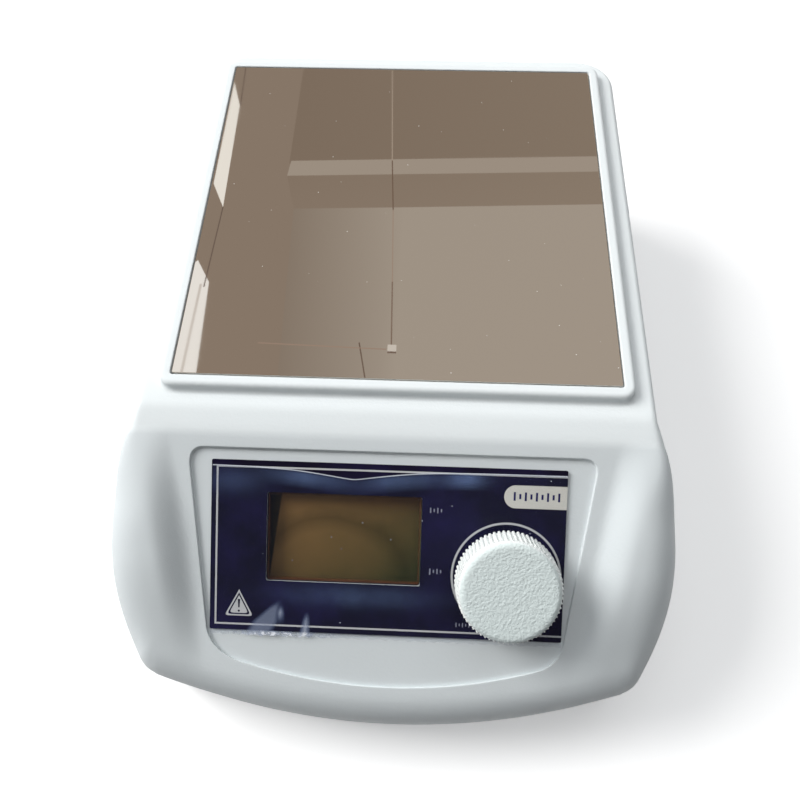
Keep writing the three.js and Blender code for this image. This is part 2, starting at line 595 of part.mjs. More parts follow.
function displayFrame() {
  const { x0, x1, y0, y1 } = WINDOW;
  const outer = box(x0 - 2.5, x1 + 2.5, y0 - 2.5, y1 + 2.5, BOARD_TOP + GAP, -4.6);
  const inner = box(x0 - 1, x1 + 1, y0 - 1, y1 + 1, BOARD_TOP + 2.5, 0);
  return cut(outer, inner);
}

function displayBoard() {
  const plate = box(-42, 44, -45, -3, BOARD_TOP - 1.6, BOARD_TOP);
  return cut(plate, ...displayHoles.map(([x, y]) => rod(1.5, -20, 0, x, y, 12)));
}

function encoderBody() {
  const [x, y] = KNOB_AT;
  const can = box(x - 6.2, x + 6.2, y - 6.6, y + 6.6, BOARD_TOP + GAP, -4.4);
  const bushing = rod(BUSHING_R, -5, 2.2, x, y, 24);
  return cut(join(can, bushing), rod(SHAFT_R + GAP, -20, 5, x, y, 24));
}

function encoderNut() {
  const [x, y] = KNOB_AT;
  const hex = rod(6.2, -POCKET_DEPTH + GAP, 1.2, x, y, 6);
  return cut(hex, rod(BUSHING_R + GAP, -5, 5, x, y, 24));
}

function encoderShaft() {
  const [x, y] = KNOB_AT;
  const shaft = rod(SHAFT_R, -7.6, KNOB_FACE_Z - 3.2, x, y, 24);
  return cut(shaft, box(x - 5, x + 5, y + 1.6, y + 5, 3, 20));
}

// Ribbed cap: a lathed form whose alternate columns stand out as ribs, hollow underneath.
function knob() {
  const profile = [[0, KNOB_FOOT_Z], [KNOB_R - 0.5, KNOB_FOOT_Z], [KNOB_R, KNOB_FOOT_Z + 0.6],
    [KNOB_TOP_R, KNOB_FACE_Z - 1.1], [KNOB_TOP_R - 0.35, KNOB_FACE_Z - 0.35],
    [KNOB_TOP_R - 1.1, KNOB_FACE_Z], [0, KNOB_FACE_Z]].map(([r, z]) => new THREE.Vector2(r, z));
  const form = new THREE.LatheGeometry(profile, KNOB_RIBS * 2);
  const spots = form.attributes.position;
  for (let i = 0; i < spots.count; i++) {
    const [x, z] = [spots.getX(i), spots.getZ(i)];
    const r = Math.hypot(x, z);
    const column = Math.round((Math.atan2(x, z) / Math.PI) * KNOB_RIBS);
    if (r < KNOB_TOP_R - 0.6 || column % 2 === 0) continue;
    spots.setXYZ(i, x * (1 - RIB_DEPTH / r), spots.getY(i), z * (1 - RIB_DEPTH / r));
  }
  form.rotateX(Math.PI / 2).translate(...KNOB_AT, 0);
  const [x, y] = KNOB_AT;
  const hollow = rod(KNOB_R - KNOB_WALL, -5, KNOB_FACE_Z - 2.2, x, y, 40, KNOB_TOP_R - KNOB_WALL);
  const hub = rod(5.4, KNOB_FOOT_Z + 0.2, KNOB_FACE_Z - 1, x, y, 24);
  const bore = rod(SHAFT_R + GAP, -5, KNOB_FACE_Z - 2.8, x, y, 24);
  const key = box(x - 2.4, x + 2.4, y + 1.9, y + 4, KNOB_FOOT_Z + 0.6, KNOB_FACE_Z - 2.6);
  return cut(join(cut(solid(form), hollow), hub), cut(bore, key));
}

place('panel_label', panelLabel(), NAVY_PRINT, panel);
place('protective_film', protectiveFilm(), CLEAR_FILM, panel);
place('display_lens', displayLens(), SMOKED_LENS, panel);
place('display_frame', displayFrame(), BLACK_ABS, panel);
const glassBox = [WINDOW.x0 - 0.7, WINDOW.x1 + 0.7, WINDOW.y0 - 0.7, WINDOW.y1 + 0.7];
place('display_glass', box(...glassBox, BOARD_TOP + 5.6, -3.9 - 0.4), LCD_GLASS, panel);
place('display_backlight', box(...glassBox, BOARD_TOP + 2.8, BOARD_TOP + 5.3), CLEAR_FILM, panel);
place('display_board', displayBoard(), BOARD_GREEN, panel);
place('encoder_body', encoderBody(), ZINC, panel);
place('encoder_nut', encoderNut(), NICKEL, panel);
place('encoder_plunger', rod(2.6, BOARD_TOP + 0.9, -7.9, ...KNOB_AT, 20), BRASS, panel);
place('encoder_shaft', encoderShaft(), ALUMINIUM, panel);
place('control_knob', knob(), KNOB_ABS, panel);

// ---------------------------------------------------------------- power inlet and switch

function powerJack() {
  const { x, z } = JACK_AT;
  const barrel = rodY(4, 88, BACK_Y - 2, x, z);
  const collar = box(x - 5.4, x + 5.4, 88, 100.4, z - 5.4, z + 5.4);
  return join(cut(join(barrel, collar), rodY(2.9, 92, 107, x, z)), rodY(1, 91, 101.5, x, z, 12));
}

function rockerFrame() {
  const { x, z } = ROCKER_AT;
  const flange = box(x - 11.6, x + 11.6, REAR_PANEL.floorY + 0.2, BACK_Y - 0.4, z - 8.2, z + 8.2);
  const body = box(x - 9.4, x + 9.4, 90, REAR_PANEL.floorY + 1, z - 6.2, z + 6.2);
  return cut(join(flange, body), box(x - 8, x + 8, 94, 110, z - 5, z + 5));
}

// Rocker: a shallow V seen from the side, tipped to its off position.
function rocker() {
  const side = new THREE.Shape();
  [[-4.2, 1], [-4.2, 4.2], [0, 3.5], [4.2, 4.2], [4.2, 1], [1.5, -2], [-1.5, -2]].forEach(([a, b], i) => {
    if (i === 0) side.moveTo(a, b);
    else side.lineTo(a, b);
  });
  const form = new THREE.ExtrudeGeometry(side, { depth: 2 * ROCKER_HALF_WIDTH, bevelEnabled: false });
  form.rotateY(-Math.PI / 2).translate(ROCKER_HALF_WIDTH, 0, 0);
  form.rotateX(THREE.MathUtils.degToRad(-ROCKER_TILT_DEG));
  return solid(form.translate(ROCKER_AT.x, ROCKER_PIVOT_Y, ROCKER_AT.z));
}

place('power_jack', powerJack(), BLACK_ABS);
place('rocker_frame', rockerFrame(), BLACK_ABS);
place('power_rocker', rocker(), BLACK_ABS);

// ---------------------------------------------------------------- electronics and wiring

const boardTop = MAIN_BOARD.z0 + MAIN_BOARD.t;
const partZ = boardTop + GAP;

function mainBoard() {
  const { x0, x1, y0, y1, z0 } = MAIN_BOARD;
  const holes = boardCorners().map(([x, y]) => rod(1.4, 0, 40, x, y, 12));
  return cut(roundedPlate(x0, x1, y0, y1, z0, boardTop, 2), ...holes);
}

function heatSink() {
  const block = box(-14, 8, -40, -28, partZ, partZ + 14);
  const gaps = [0, 1, 2, 3, 4].map((i) => {
    const x = -12 + i * 4;
    return box(x, x + 2.2, -50, -20, partZ + 3, partZ + 20);
  });
  return cut(block, ...gaps);
}

// A header with its plug: an open-topped box round a centre block.
function socket(x0, x1, y0, y1) {
  const shell = box(x0, x1, y0, y1, partZ, partZ + 5.5);
  const well = box(x0 + 0.8, x1 - 0.8, y0 + 0.8, y1 - 0.8, partZ + 3, partZ + 9);
  return cut(shell, well);
}

place('main_board', mainBoard(), BOARD_GREEN);
place('reservoir_capacitor', rod(5, partZ, partZ + 13, -30, -34, 24), BLACK_ABS);
place('regulator_heat_sink', heatSink(), ALUMINIUM);
place('driver_chip', box(-18, -6, -58, -50, partZ, partZ + 2), BLACK_ABS);
place('motor_socket', socket(14, 24, -32, -26), WHITE_ABS);
place('power_socket', socket(14, 24, -42, -36), WHITE_ABS);
place('display_socket', socket(-18, -2, -72, -66), WHITE_ABS);
displayScrews.forEach(([x, y], i) => {
  const made = screwUp(2.4, BOARD_TOP - 3.2, 1.3, 1, -5, x, y);
  place(`display_screw_${i + 1}`, made, ZINC, panel);
});

const wellZ = partZ + 3 + 1;
const ribbonPath = [[-10, -72, 30.4], [-10, -73, 27], [-10, -70.5, 24], [-10, -69, wellZ]];
place('display_ribbon', wire(ribbonPath, 0.8, 10), GREY_WIRE);
const motorFront = PLATE_Y - MOTOR_R - 1.2;
place('motor_lead_red', wire([[-4, motorFront, 30], [-4, motorFront - 3, 22], [4, -4, 17.5],
  [16, -18, 19], [17, -26.5, 26], [17.4, -29, wellZ]], 0.7), RED_WIRE);
place('motor_lead_black', wire([[4, motorFront, 30], [5, motorFront - 3, 22], [10, -4, 17.5],
  [20, -18, 19], [21, -26.5, 26], [20.8, -29, wellZ]], 0.7), BLACK_WIRE);
place('power_lead_red', wire([[JACK_AT.x, 87, JACK_AT.z], [30, 82, 28], [44, 70, 16],
  [45, 30, 12], [42, -12, 12], [36, -34, 20], [24, -39, 27], [20.8, -39, wellZ]], 0.8), RED_WIRE);
place('power_lead_black', wire([[ROCKER_AT.x, 89, ROCKER_AT.z], [-26, 84, 28], [-44, 70, 16],
  [-45, 30, 12], [-40, -8, 13], [-20, -18, 20], [6, -22, 24], [12, -36, 27],
  [17.4, -39, wellZ]], 0.8, 22), BLACK_WIRE);

export default whole;
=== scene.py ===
# %% [markdown]
# # A bench magnetic stirrer
# A small stirrer is a white moulded casing with a square mirror-polished plate on top and a
# sloping console in front. Under the plate a motor spins two magnets, and the knob on the
# console sets the speed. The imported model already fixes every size, place and joint, so this
# lesson only gives each piece its real surface, edges and finish around that frame.

# %% Load the frame
import json
import math

import bmesh
import bpy
import numpy as np
from mathutils import Matrix, Vector, geometry, kdtree


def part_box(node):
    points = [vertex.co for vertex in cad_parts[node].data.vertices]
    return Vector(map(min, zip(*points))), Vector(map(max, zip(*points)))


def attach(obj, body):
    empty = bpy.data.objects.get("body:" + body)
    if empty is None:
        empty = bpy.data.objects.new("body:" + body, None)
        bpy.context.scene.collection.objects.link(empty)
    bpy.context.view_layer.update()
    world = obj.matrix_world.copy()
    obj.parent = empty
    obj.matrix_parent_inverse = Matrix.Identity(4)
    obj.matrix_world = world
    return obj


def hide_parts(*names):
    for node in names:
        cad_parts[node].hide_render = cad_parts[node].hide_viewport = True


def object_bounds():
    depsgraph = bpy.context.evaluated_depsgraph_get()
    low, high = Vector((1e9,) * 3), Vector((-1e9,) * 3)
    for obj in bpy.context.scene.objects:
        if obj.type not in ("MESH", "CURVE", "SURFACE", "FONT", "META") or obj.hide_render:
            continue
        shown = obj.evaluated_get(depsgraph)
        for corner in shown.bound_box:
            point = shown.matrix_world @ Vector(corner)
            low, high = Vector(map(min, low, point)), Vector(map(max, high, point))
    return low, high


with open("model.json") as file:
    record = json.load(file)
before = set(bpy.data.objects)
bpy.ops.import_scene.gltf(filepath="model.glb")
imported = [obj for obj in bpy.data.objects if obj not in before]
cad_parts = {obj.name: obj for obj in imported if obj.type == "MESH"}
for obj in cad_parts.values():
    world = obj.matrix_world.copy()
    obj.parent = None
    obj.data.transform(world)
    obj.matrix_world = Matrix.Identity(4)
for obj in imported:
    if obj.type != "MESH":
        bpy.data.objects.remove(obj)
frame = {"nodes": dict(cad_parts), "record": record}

cad_low, cad_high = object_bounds()
nodes = frame["nodes"]

# %% [markdown]
# ## Measures
# Everything is thought of in millimetres and turned into metres at the last moment. The
# casing's curves repeat the rules of its design: a straight rear, flanks that bulge to the
# widest place, and a bowed front lip. The rest is read from the frame.

# %% Measures of the casing
MM = 0.001
half_rear, half_widest = 69.2, cad_high.x / MM
front_y, back_y = cad_low.y / MM, cad_high.y / MM
rim_z = cad_high.z / MM
deck_z = rim_z - 3.0
skirt_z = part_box("upper_housing")[0].z / MM
crease_y, band_end_y, widest_y = -32.6, -38.6, -64.5
rear_corner_r, flank_r, lip_bow_r = 12.0, 57.0, 220.0
corner_x, corner_y, corner_r, corner_from_y = 61.9, -88.3, 8.0, -92.4
slope = math.radians(29.8)
panel_y, panel_z = -45.4, 61.05
plate_low, plate_high = (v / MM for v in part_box("work_plate"))
plate_mid = (plate_low + plate_high) / 2
plate_half = (plate_high.x - plate_low.x) / 2
recess_half = plate_half + 0.4
rim_half = recess_half + 3.2
recess_z = 67.2
opening_r = 46.0
print("casing", half_widest * 2, "x", back_y - front_y, "x", rim_z, "mm")


def from_panel(x, up, out):
    """A point of the console's own frame, in the unit's frame: up the slope, and out of it."""
    y = panel_y + up * math.cos(slope) - out * math.sin(slope)
    return Vector((x, y, panel_z + up * math.sin(slope) + out * math.cos(slope)))


panel_matrix = Matrix.Translation((0, panel_y, panel_z)) @ Matrix.Rotation(slope, 4, "X")
knob_x, knob_up = 30.6, -28.9
window = {"x0": -33.0, "x1": 8.2, "y0": -32.3, "y1": -8.3}
label = {"x0": -47.9, "x1": 46.1, "y0": -45.9, "y1": 0.0}

# %% [markdown]
# ## Camera
# The unit is looked at from above its front lip, close to it, as a person standing at the
# bench holds a camera over it. Such a near view spreads the front and narrows the rear, so
# the camera's place matters more than its lens.

# %% Make the camera
camera_data = bpy.data.cameras.new("bench_camera")
camera_data.lens, camera_data.sensor_width = 31.5, 36.0
camera_data.clip_start, camera_data.clip_end = 0.01, 50.0
camera = bpy.data.objects.new("bench_camera", camera_data)
bpy.context.scene.collection.objects.link(camera)
bpy.context.scene.camera = camera


def aim_camera(place, down_deg, yaw_deg, roll_deg):
    """Stands the camera at a place in millimetres, looking down and turned by small angles."""
    down, yaw, roll = (math.radians(a) for a in (down_deg, yaw_deg, roll_deg))
    ahead = Vector((math.sin(yaw) * math.cos(down), math.cos(yaw) * math.cos(down), -math.sin(down)))
    right = Vector((math.cos(yaw), -math.sin(yaw), 0))
    up = right.cross(ahead)
    right, up = (math.cos(roll) * right + math.sin(roll) * up,
                 math.cos(roll) * up - math.sin(roll) * right)
    turn = Matrix((right, up, -ahead)).transposed().to_4x4()
    camera.matrix_world = Matrix.Translation(Vector(place) * MM) @ turn


aim_camera((7.19, -112.3, 233.19), 63.37, -3.95, -1.74)
print("camera", round(camera.location.z / MM), "mm above the bench")

# %% [markdown]
# ## Shader maths
# A finish is a web of nodes. Written out socket by socket it is long and hard to read, so one
# small class wraps a socket and lets ordinary sums add Math nodes, and one method adds any
# other node. Numbers that stay the same all over a piece are worked out in Python.


# %% A socket that can be used in sums
def slot_of(node, name):
    """An input of a node by its name, or by its number when the name is i0, i1 and so on."""
    return node.inputs[int(name[1:])] if name[1:].isdigit() else node.inputs[name.replace("_", " ")]


class Flow:
    """The output of a node, as a value that can be added, multiplied and compared."""

    def __init__(self, tree, socket):
        self.tree, self.socket = tree, socket

    def maths(self, operation, *others):
        node = self.tree.nodes.new("ShaderNodeMath")
        node.operation = operation
        for slot, value in zip(node.inputs, others):
            if isinstance(value, Flow):
                self.tree.links.new(value.socket, slot)
            else:
                slot.default_value = float(value)
        return Flow(self.tree, node.outputs[0])

    def __add__(self, other): return self.maths("ADD", self, other)
    def __radd__(self, other): return self.maths("ADD", other, self)
    def __sub__(self, other): return self.maths("SUBTRACT", self, other)
    def __rsub__(self, other): return self.maths("SUBTRACT", other, self)
    def __mul__(self, other): return self.maths("MULTIPLY", self, other)
    def __rmul__(self, other): return self.maths("MULTIPLY", other, self)
    def __truediv__(self, other): return self.maths("DIVIDE", self, other)
    def __pow__(self, other): return self.maths("POWER", self, other)
    def __neg__(self): return self.maths("MULTIPLY", self, -1)
    def __abs__(self): return self.maths("ABSOLUTE", self)
    def lower(self, other): return self.maths("MINIMUM", self, other)
    def higher(self, other): return self.maths("MAXIMUM", self, other)
    def root(self): return self.maths("SQRT", self)

    def inside(self, soft):
        """1 where the value is below zero and 0 above it, with an edge this soft."""
        return (0.5 - self / (2 * soft)).higher(0).lower(1)


class Finish:
    """A material built round one Principled BSDF."""

    def __init__(self, name, color, roughness, metallic=0.0, **fixed):
        self.material = bpy.data.materials.new(name)
        self.material.use_nodes = True
        self.tree = self.material.node_tree
        self.shader = self.tree.nodes["Principled BSDF"]
        self.output = self.tree.nodes["Material Output"]
        self.shader.inputs["Base Color"].default_value = (*color, 1)
        self.shader.inputs["Roughness"].default_value = roughness
        self.shader.inputs["Metallic"].default_value = metallic
        for socket, value in fixed.items():
            self.shader.inputs[socket.replace("_", " ")].default_value = value
        self.material.diffuse_color = (*color, 1)

    def node(self, kind, settings=None, out=0, **sockets):
        """Adds any node: its settings first, then its sockets. Returns one of its outputs."""
        made = self.tree.nodes.new(kind)
        for key, value in (settings or {}).items():
            setattr(made, key, value)
        for name, value in sockets.items():
            slot = slot_of(made, name)
            if isinstance(value, Flow):
                self.tree.links.new(value.socket, slot)
            else:
                slot.default_value = value
        return Flow(self.tree, made.outputs[out])

    def set(self, **sockets):
        for name, value in sockets.items():
            self.tree.links.new(value.socket, self.shader.inputs[name.replace("_", " ")])

    def place(self):
        return self.node("ShaderNodeTexCoord", out=3)

    def noise(self, size_mm, detail=2.0, rough=0.5, at=None):
        """Soft random tone whose blobs are about this many millimetres."""
        return self.node("ShaderNodeTexNoise", Vector=at or self.place(),
                         Scale=1 / (size_mm * MM), Detail=detail, Roughness=rough)

    def mix(self, amount, first, second):
        """Blends two colours by an amount."""
        made = self.node("ShaderNodeMix", {"data_type": "RGBA"}, out=2, i0=amount,
                         i6=first if isinstance(first, Flow) else (*first, 1),
                         i7=second if isinstance(second, Flow) else (*second, 1))
        return made

    def bump(self, height, depth_mm):
        self.set(Normal=self.node("ShaderNodeBump", Height=height, Distance=depth_mm * MM,
                                  Strength=1.0))

    def specks(self, size_mm, reach, soft, share):
        """Scattered dust: one speck in a share of the cells that are about this big."""
        cells = self.node("ShaderNodeTexVoronoi", Vector=self.place(), Scale=1 / (size_mm * MM))
        chance = self.axes(self.node("ShaderNodeTexVoronoi", out=1, Vector=self.place(),
                                     Scale=1 / (size_mm * MM)))[0]
        return (cells - reach).inside(soft) * (chance - share).inside(0.01)

    def show_through(self, body, tint=(1, 1, 1)):
        """Makes the surface clear wherever the body is low."""
        clear = self.node("ShaderNodeBsdfTransparent", Color=(*tint, 1))
        blend = self.node("ShaderNodeMixShader", i0=body, i1=clear,
                          i2=Flow(self.tree, self.shader.outputs[0]))
        self.tree.links.new(blend.socket, self.output.inputs["Surface"])

    def panel_mm(self):
        """The place on the console in millimetres: across, up the slope, out of it."""
        turned = self.node("ShaderNodeMapping", {"vector_type": "TEXTURE"}, Vector=self.place(),
                           Location=(0, panel_y * MM, panel_z * MM), Rotation=(slope, 0, 0),
                           Scale=(MM, MM, MM))
        return self.axes(turned)

    def axes(self, vector):
        made = self.tree.nodes.new("ShaderNodeSeparateXYZ")
        self.tree.links.new(vector.socket, made.inputs[0])
        return [Flow(self.tree, s) for s in made.outputs]


def srgb(r, g, b):
    """A colour of 0 to 255 in the light's own scale, which shaders use."""
    return tuple(c / 255 / 12.92 if c <= 10 else ((c / 255 + 0.055) / 1.055) ** 2.4
                 for c in (r, g, b))


# %% [markdown]
# ## Stage and light
# The unit stands on a plain pale floor under soft light from behind its upper left, and the
# air is brighter on that side too, so that the front right falls off. The floor glows a
# little to stay white and sends no light back up, which keeps the underside of each curve
# dark. A plain room in warm grey hangs out of sight above: a ceiling with one beam, a darker
# wall, two window panes, a cable and a lamp. Only reflections see it.

# %% Floor and world
bpy.context.scene.view_settings.view_transform = "Standard"


def glow(name):
    """A stage material that only shines, in the tones painted on the card's corners."""
    made = bpy.data.materials.new(name)
    made.use_nodes = True
    tree = made.node_tree
    tree.nodes.clear()
    tones = tree.nodes.new("ShaderNodeAttribute")
    tones.attribute_name = "tone"
    shine = tree.nodes.new("ShaderNodeEmission")
    out = tree.nodes.new("ShaderNodeOutputMaterial")
    tree.links.new(tones.outputs["Color"], shine.inputs["Color"])
    tree.links.new(shine.outputs[0], out.inputs["Surface"])
    return made


def card(name, corners_mm, material, tones=None):
    """A flat stage card. One with tones only shows in reflections."""
    mesh = bpy.data.meshes.new(name)
    mesh.from_pydata([Vector(c) * MM for c in corners_mm], [], [tuple(range(len(corners_mm)))])
    mesh.materials.append(material)
    made = bpy.data.objects.new(name, mesh)
    bpy.context.scene.collection.objects.link(made)
    if tones:
        paint = mesh.attributes.new("tone", "FLOAT_COLOR", "POINT")
        for spot, tone in zip(paint.data, tones):
            spot.color = (*tone, 1)
        made.visible_camera = made.visible_diffuse = made.visible_shadow = False
        made.visible_transmission = False
    return made


world = bpy.data.worlds.new("studio")
bpy.context.scene.world = world
world.use_nodes = True
sky = world.node_tree
sky.nodes["Background"].inputs["Color"].default_value = (0.94, 0.97, 1.0, 1)
toward = sky.nodes.new("ShaderNodeVectorMath")
toward.operation = "DOT_PRODUCT"
bright_side = (-0.55, 0.83, 0)
toward.inputs[1].default_value = bright_side
dimmer = sky.nodes.new("ShaderNodeMapRange")
sky.links.new(sky.nodes.new("ShaderNodeTexCoord").outputs["Generated"], toward.inputs[0])
sky.links.new(toward.outputs["Value"], dimmer.inputs["Value"])
for socket, value in {"From Min": -0.7, "From Max": 0.2, "To Min": 0.05, "To Max": 0.50}.items():
    dimmer.inputs[socket].default_value = value
sky.links.new(dimmer.outputs["Result"], sky.nodes["Background"].inputs["Strength"])
floor_finish = Finish("stage_floor", (0.92, 0.92, 0.92), 0.9, Emission_Color=(1, 1, 1, 1),
                      Emission_Strength=0.3)
spread = 3000
floor_z = -0.05
floor = card("floor", [(-spread, -spread, floor_z), (spread, -spread, floor_z),
                       (spread, spread, floor_z), (-spread, spread, floor_z)],
             floor_finish.material)
floor.visible_diffuse = False


def soft_light(name, place_mm, size_mm, watts, color=(1, 1, 1)):
    """A square area light that faces the unit."""
    data = bpy.data.lights.new(name, "AREA")
    data.energy, data.size, data.color = watts, size_mm * MM, color
    made = bpy.data.objects.new(name, data)
    bpy.context.scene.collection.objects.link(made)
    place = Vector(place_mm) * MM
    aim = (Vector((0, 0, 40)) * MM - place).to_track_quat("-Z", "Y")
    made.matrix_world = Matrix.Translation(place) @ aim.to_matrix().to_4x4()
    made.visible_glossy = False
    return made


soft_light("window_light", (-1900, 620, 1750), 1300, 65.0, (1.0, 0.99, 0.975))
soft_light("ceiling_light", (100, 250, 1300), 1100, 4.0, (0.97, 0.985, 1.0))

# %% [markdown]
# A polished plate is judged by what it mirrors, so the room is drawn where the plate shows
# it. Each patch is given by places on the plate, and the law of reflection carries them up
# to the ceiling: the eye's mirror image lies under the plate, and a straight line from it
# through the place meets the ceiling where the patch belongs.

# %% The room above the plate
room_z = 1500.0
mirror_tone = np.array((0.80, 0.77, 0.73))
eye_x, eye_y, eye_z = (value / MM for value in camera.location)
eye_image = Vector((eye_x, eye_y, 2 * plate_high.z - eye_z))
room_material = glow("room_glow")


def above(x, y, lift):
    """Where on the ceiling a place of the plate shows. The lift stacks one card on another."""
    place = Vector((x, plate_mid.y + y, plate_high.z))
    reach = (room_z - lift - eye_image.z) / (plate_high.z - eye_image.z)
    return eye_image + (place - eye_image) * reach


def patch(name, corners, tones, lift):
    """A patch of the room: its corners as places on the plate, and its tone at each."""
    each = tones * len(corners) if len(tones) == 1 else tones
    lit = [tuple(np.array(srgb(*tone)) / mirror_tone) for tone in each]
    card("room_" + name, [above(x, y, lift) for x, y in corners], room_material, lit)


def strip(name, start, end, width, tone, lift):
    """A thin line of the room, such as a cable or a rod."""
    along = (Vector(end) - Vector(start)).normalized() * width / 2
    side = Vector((-along.y, along.x))
    corners = [Vector(start) - side, Vector(end) - side, Vector(end) + side, Vector(start) + side]
    patch(name, [tuple(c) for c in corners], [tone], lift)


far = 420
wide = 3000
patch("wall", [(-wide, -wide), (wide, -wide), (wide, wide), (-wide, wide)], [(134, 118, 103)], 0)
patch("rear_ceiling", [(-36.8, 16), (far, 30), (far, far), (-37, far)],
      [(124, 108, 93), (150, 137, 121), (150, 137, 121), (124, 108, 93)], 2)
patch("front_ceiling_left", [(-24, -260), (0, -260), (0, -0.9), (-33.4, -2.4)],
      [(128, 114, 101), (160, 148, 134), (158, 146, 132), (133, 119, 105)], 2)
patch("front_ceiling", [(0, -260), (far, -260), (far, 20), (0, -0.9)],
      [(160, 148, 134), (163, 151, 139), (163, 151, 139), (158, 146, 132)], 2)
patch("beam_side", [(-33.4, -2.4), (far, 20), (far, 32), (-36.9, 10.8)],
      [(132, 116, 101), (150, 138, 122), (150, 138, 122), (130, 114, 99)], 4)
patch("beam_face", [(-36.9, 10.8), (far, 32), (far, 39), (-36.3, 17.1)], [(155, 142, 128)], 6)
patch("pane_1", [(-59.4, 6.9), (-55.0, -2.4), (-56.2, 41.4), (-59.7, 52.7)], [(228, 221, 210)], 6)
patch("pane_2", [(-66, -90), (-51.8, -90), (-54.7, -30.3), (-59.2, -22.6), (-66, -30)],
      [(228, 222, 214)], 6)
strip("pane_bar", (-57.6, -90), (-56.9, -31), 0.7, (196, 186, 176), 8)
strip("pane_edge_1", (-55.0, -2.4), (-55.9, -32), 0.35, (104, 88, 78), 8)
strip("pane_edge_2", (-56.0, 41.4), (-56.8, 60), 0.35, (104, 88, 78), 8)
strip("cable_rear", (-6.6, 66), (-4.4, 18.1), 0.35, (158, 142, 126), 8)
strip("cable_beam", (-4.4, 18.1), (-3.2, -2.0), 0.35, (108, 88, 74), 8)
strip("cable_front", (-3.2, -2.0), (-2.2, -28.5), 0.3, (152, 132, 116), 8)
strip("cable_end", (-2.2, -28.5), (-1.5, -49.7), 0.35, (120, 100, 86), 8)
strip("lamp_box", (-1.3, -49.4), (-1.3, -51.6), 2.4, (196, 186, 174), 10)
strip("lamp_shade", (-1.3, -51.4), (-1.3, -52.1), 2.4, (112, 94, 82), 10)
strip("rod", (-38.0, -50.0), (-2.8, -50.9), 0.35, (150, 128, 112), 8)
strip("rod_arm", (-10.3, -49.0), (-7.4, -63), 0.35, (104, 86, 74), 8)

# %% [markdown]
# ## The casing's surface
# The casing is one moulding whose top is a height over every point of its plan: a flat deck,
# a band, a slope, wings that swell beside the console, and edges that roll over into the
# walls. Subdivision would soften the crisp steps of the rim and the pocket, so the plan is
# triangulated instead: rings of points follow each edge, as close as its rounding needs, and
# a plain grid fills what lies between. Then each point is lifted to its height.


# %% Helpers for outlines
def ease(t):
    t = np.clip(t, 0, 1)
    return t * t * (3 - 2 * t)


def ramp(t, soft):
    """0 below zero and t above it, with a rounded bend this wide to each side."""
    bend = (np.clip(t, -soft, soft) + soft) ** 2 / (4 * soft)
    return np.where(t > soft, t, bend)


def arc(cx, cy, r, start, end, count):
    angles = np.radians(np.linspace(start, end, count))
    return np.c_[cx + r * np.cos(angles), cy + r * np.sin(angles)]


def chain(*stretches):
    """Joins stretches of points, leaving out the doubled ones where they meet."""
    kept = [stretches[0]]
    for stretch in stretches[1:]:
        skip = 1 if np.hypot(*(kept[-1][-1] - stretch[0])) < 0.02 else 0
        kept.append(stretch[skip:])
    return np.vstack(kept)


def grown(loop, distance):
    """A closed anticlockwise loop moved outwards by a distance, or inwards when negative."""
    along = np.roll(loop, -1, 0) - np.roll(loop, 1, 0)
    along /= np.linalg.norm(along, axis=1)[:, None]
    return loop + np.c_[along[:, 1], -along[:, 0]] * np.reshape(distance, (-1, 1))


def within(points, loop):
    """True for the points inside a closed loop, by counting the edges that a ray crosses."""
    found = np.zeros(len(points), bool)
    for (x0, y0), (x1, y1) in zip(loop, np.roll(loop, -1, 0)):
        if y0 == y1:
            continue
        spans = (points[:, 1] < y0) != (points[:, 1] < y1)
        found ^= spans & (points[:, 0] < x0 + (points[:, 1] - y0) * (x1 - x0) / (y1 - y0))
    return found


def nearest(points, loop):
    """Distance of each point to a closed loop."""
    best = np.full(len(points), 1e9)
    for start, step in zip(loop, np.roll(loop, -1, 0) - loop):
        t = np.clip(((points - start) @ step) / (step @ step), 0, 1)
        best = np.minimum(best, np.linalg.norm(points - start - t[:, None] * step, axis=1))
    return best


# %% The casing's plan
def front_edge(x):
    """The bowed front of the plan."""
    return front_y + x ** 2 / (2 * lip_bow_r)


def half_width(y):
    """Half width of the casing's plan in front of the crease."""
    run, bulge = crease_y - widest_y, half_widest - half_rear
    bulge_r = (run ** 2 + bulge ** 2) / (2 * bulge)
    r = np.where(y > widest_y, bulge_r, flank_r)
    return half_widest - r + np.sqrt(np.maximum(0, r ** 2 - (y - widest_y) ** 2))


def casing_plan():
    """The plan's closed outline, anticlockwise from the middle of the front edge."""
    side_y = np.linspace(corner_from_y, crease_y, 54)
    bow_x = np.linspace(0, corner_x + 2.2, 44)
    rear_x = half_rear - rear_corner_r
    right = chain(np.c_[bow_x, front_edge(bow_x)],
                  arc(corner_x, corner_y, corner_r, -74, -31, 12)[1:-1],
                  np.c_[half_width(side_y), side_y],
                  np.c_[np.full(60, half_rear), np.linspace(crease_y, back_y - rear_corner_r, 60)],
                  arc(rear_x, back_y - rear_corner_r, rear_corner_r, 0, 90, 16),
                  np.c_[np.linspace(rear_x, 0, 30), np.full(30, back_y)])
    left = right[1:-1][::-1] * (-1, 1)
    return np.vstack((right, left))


def evened(values, spread):
    """Averages values along a closed loop over this many neighbours to each side."""
    return sum(np.roll(values, shift, 0) for shift in range(-spread, spread + 1)) / (2 * spread + 1)


plan = casing_plan()
plan_out = evened(grown(plan, 1.0) - plan, 2)
frontness = evened(ease(-plan_out[:, 1] / 0.94), 3)
print("the plan's outline has", len(plan), "points")

# %% [markdown]
# Height is split into three sums: the face, which is deck, band and slope with rounded bends;
# the wings; and how far the rolled edge has dropped at a distance from the wall. The side
# edges roll with a radius that grows from the deck to the console, the front lip rolls from
# the slope's own tilt, and the corner blends from one to the other.

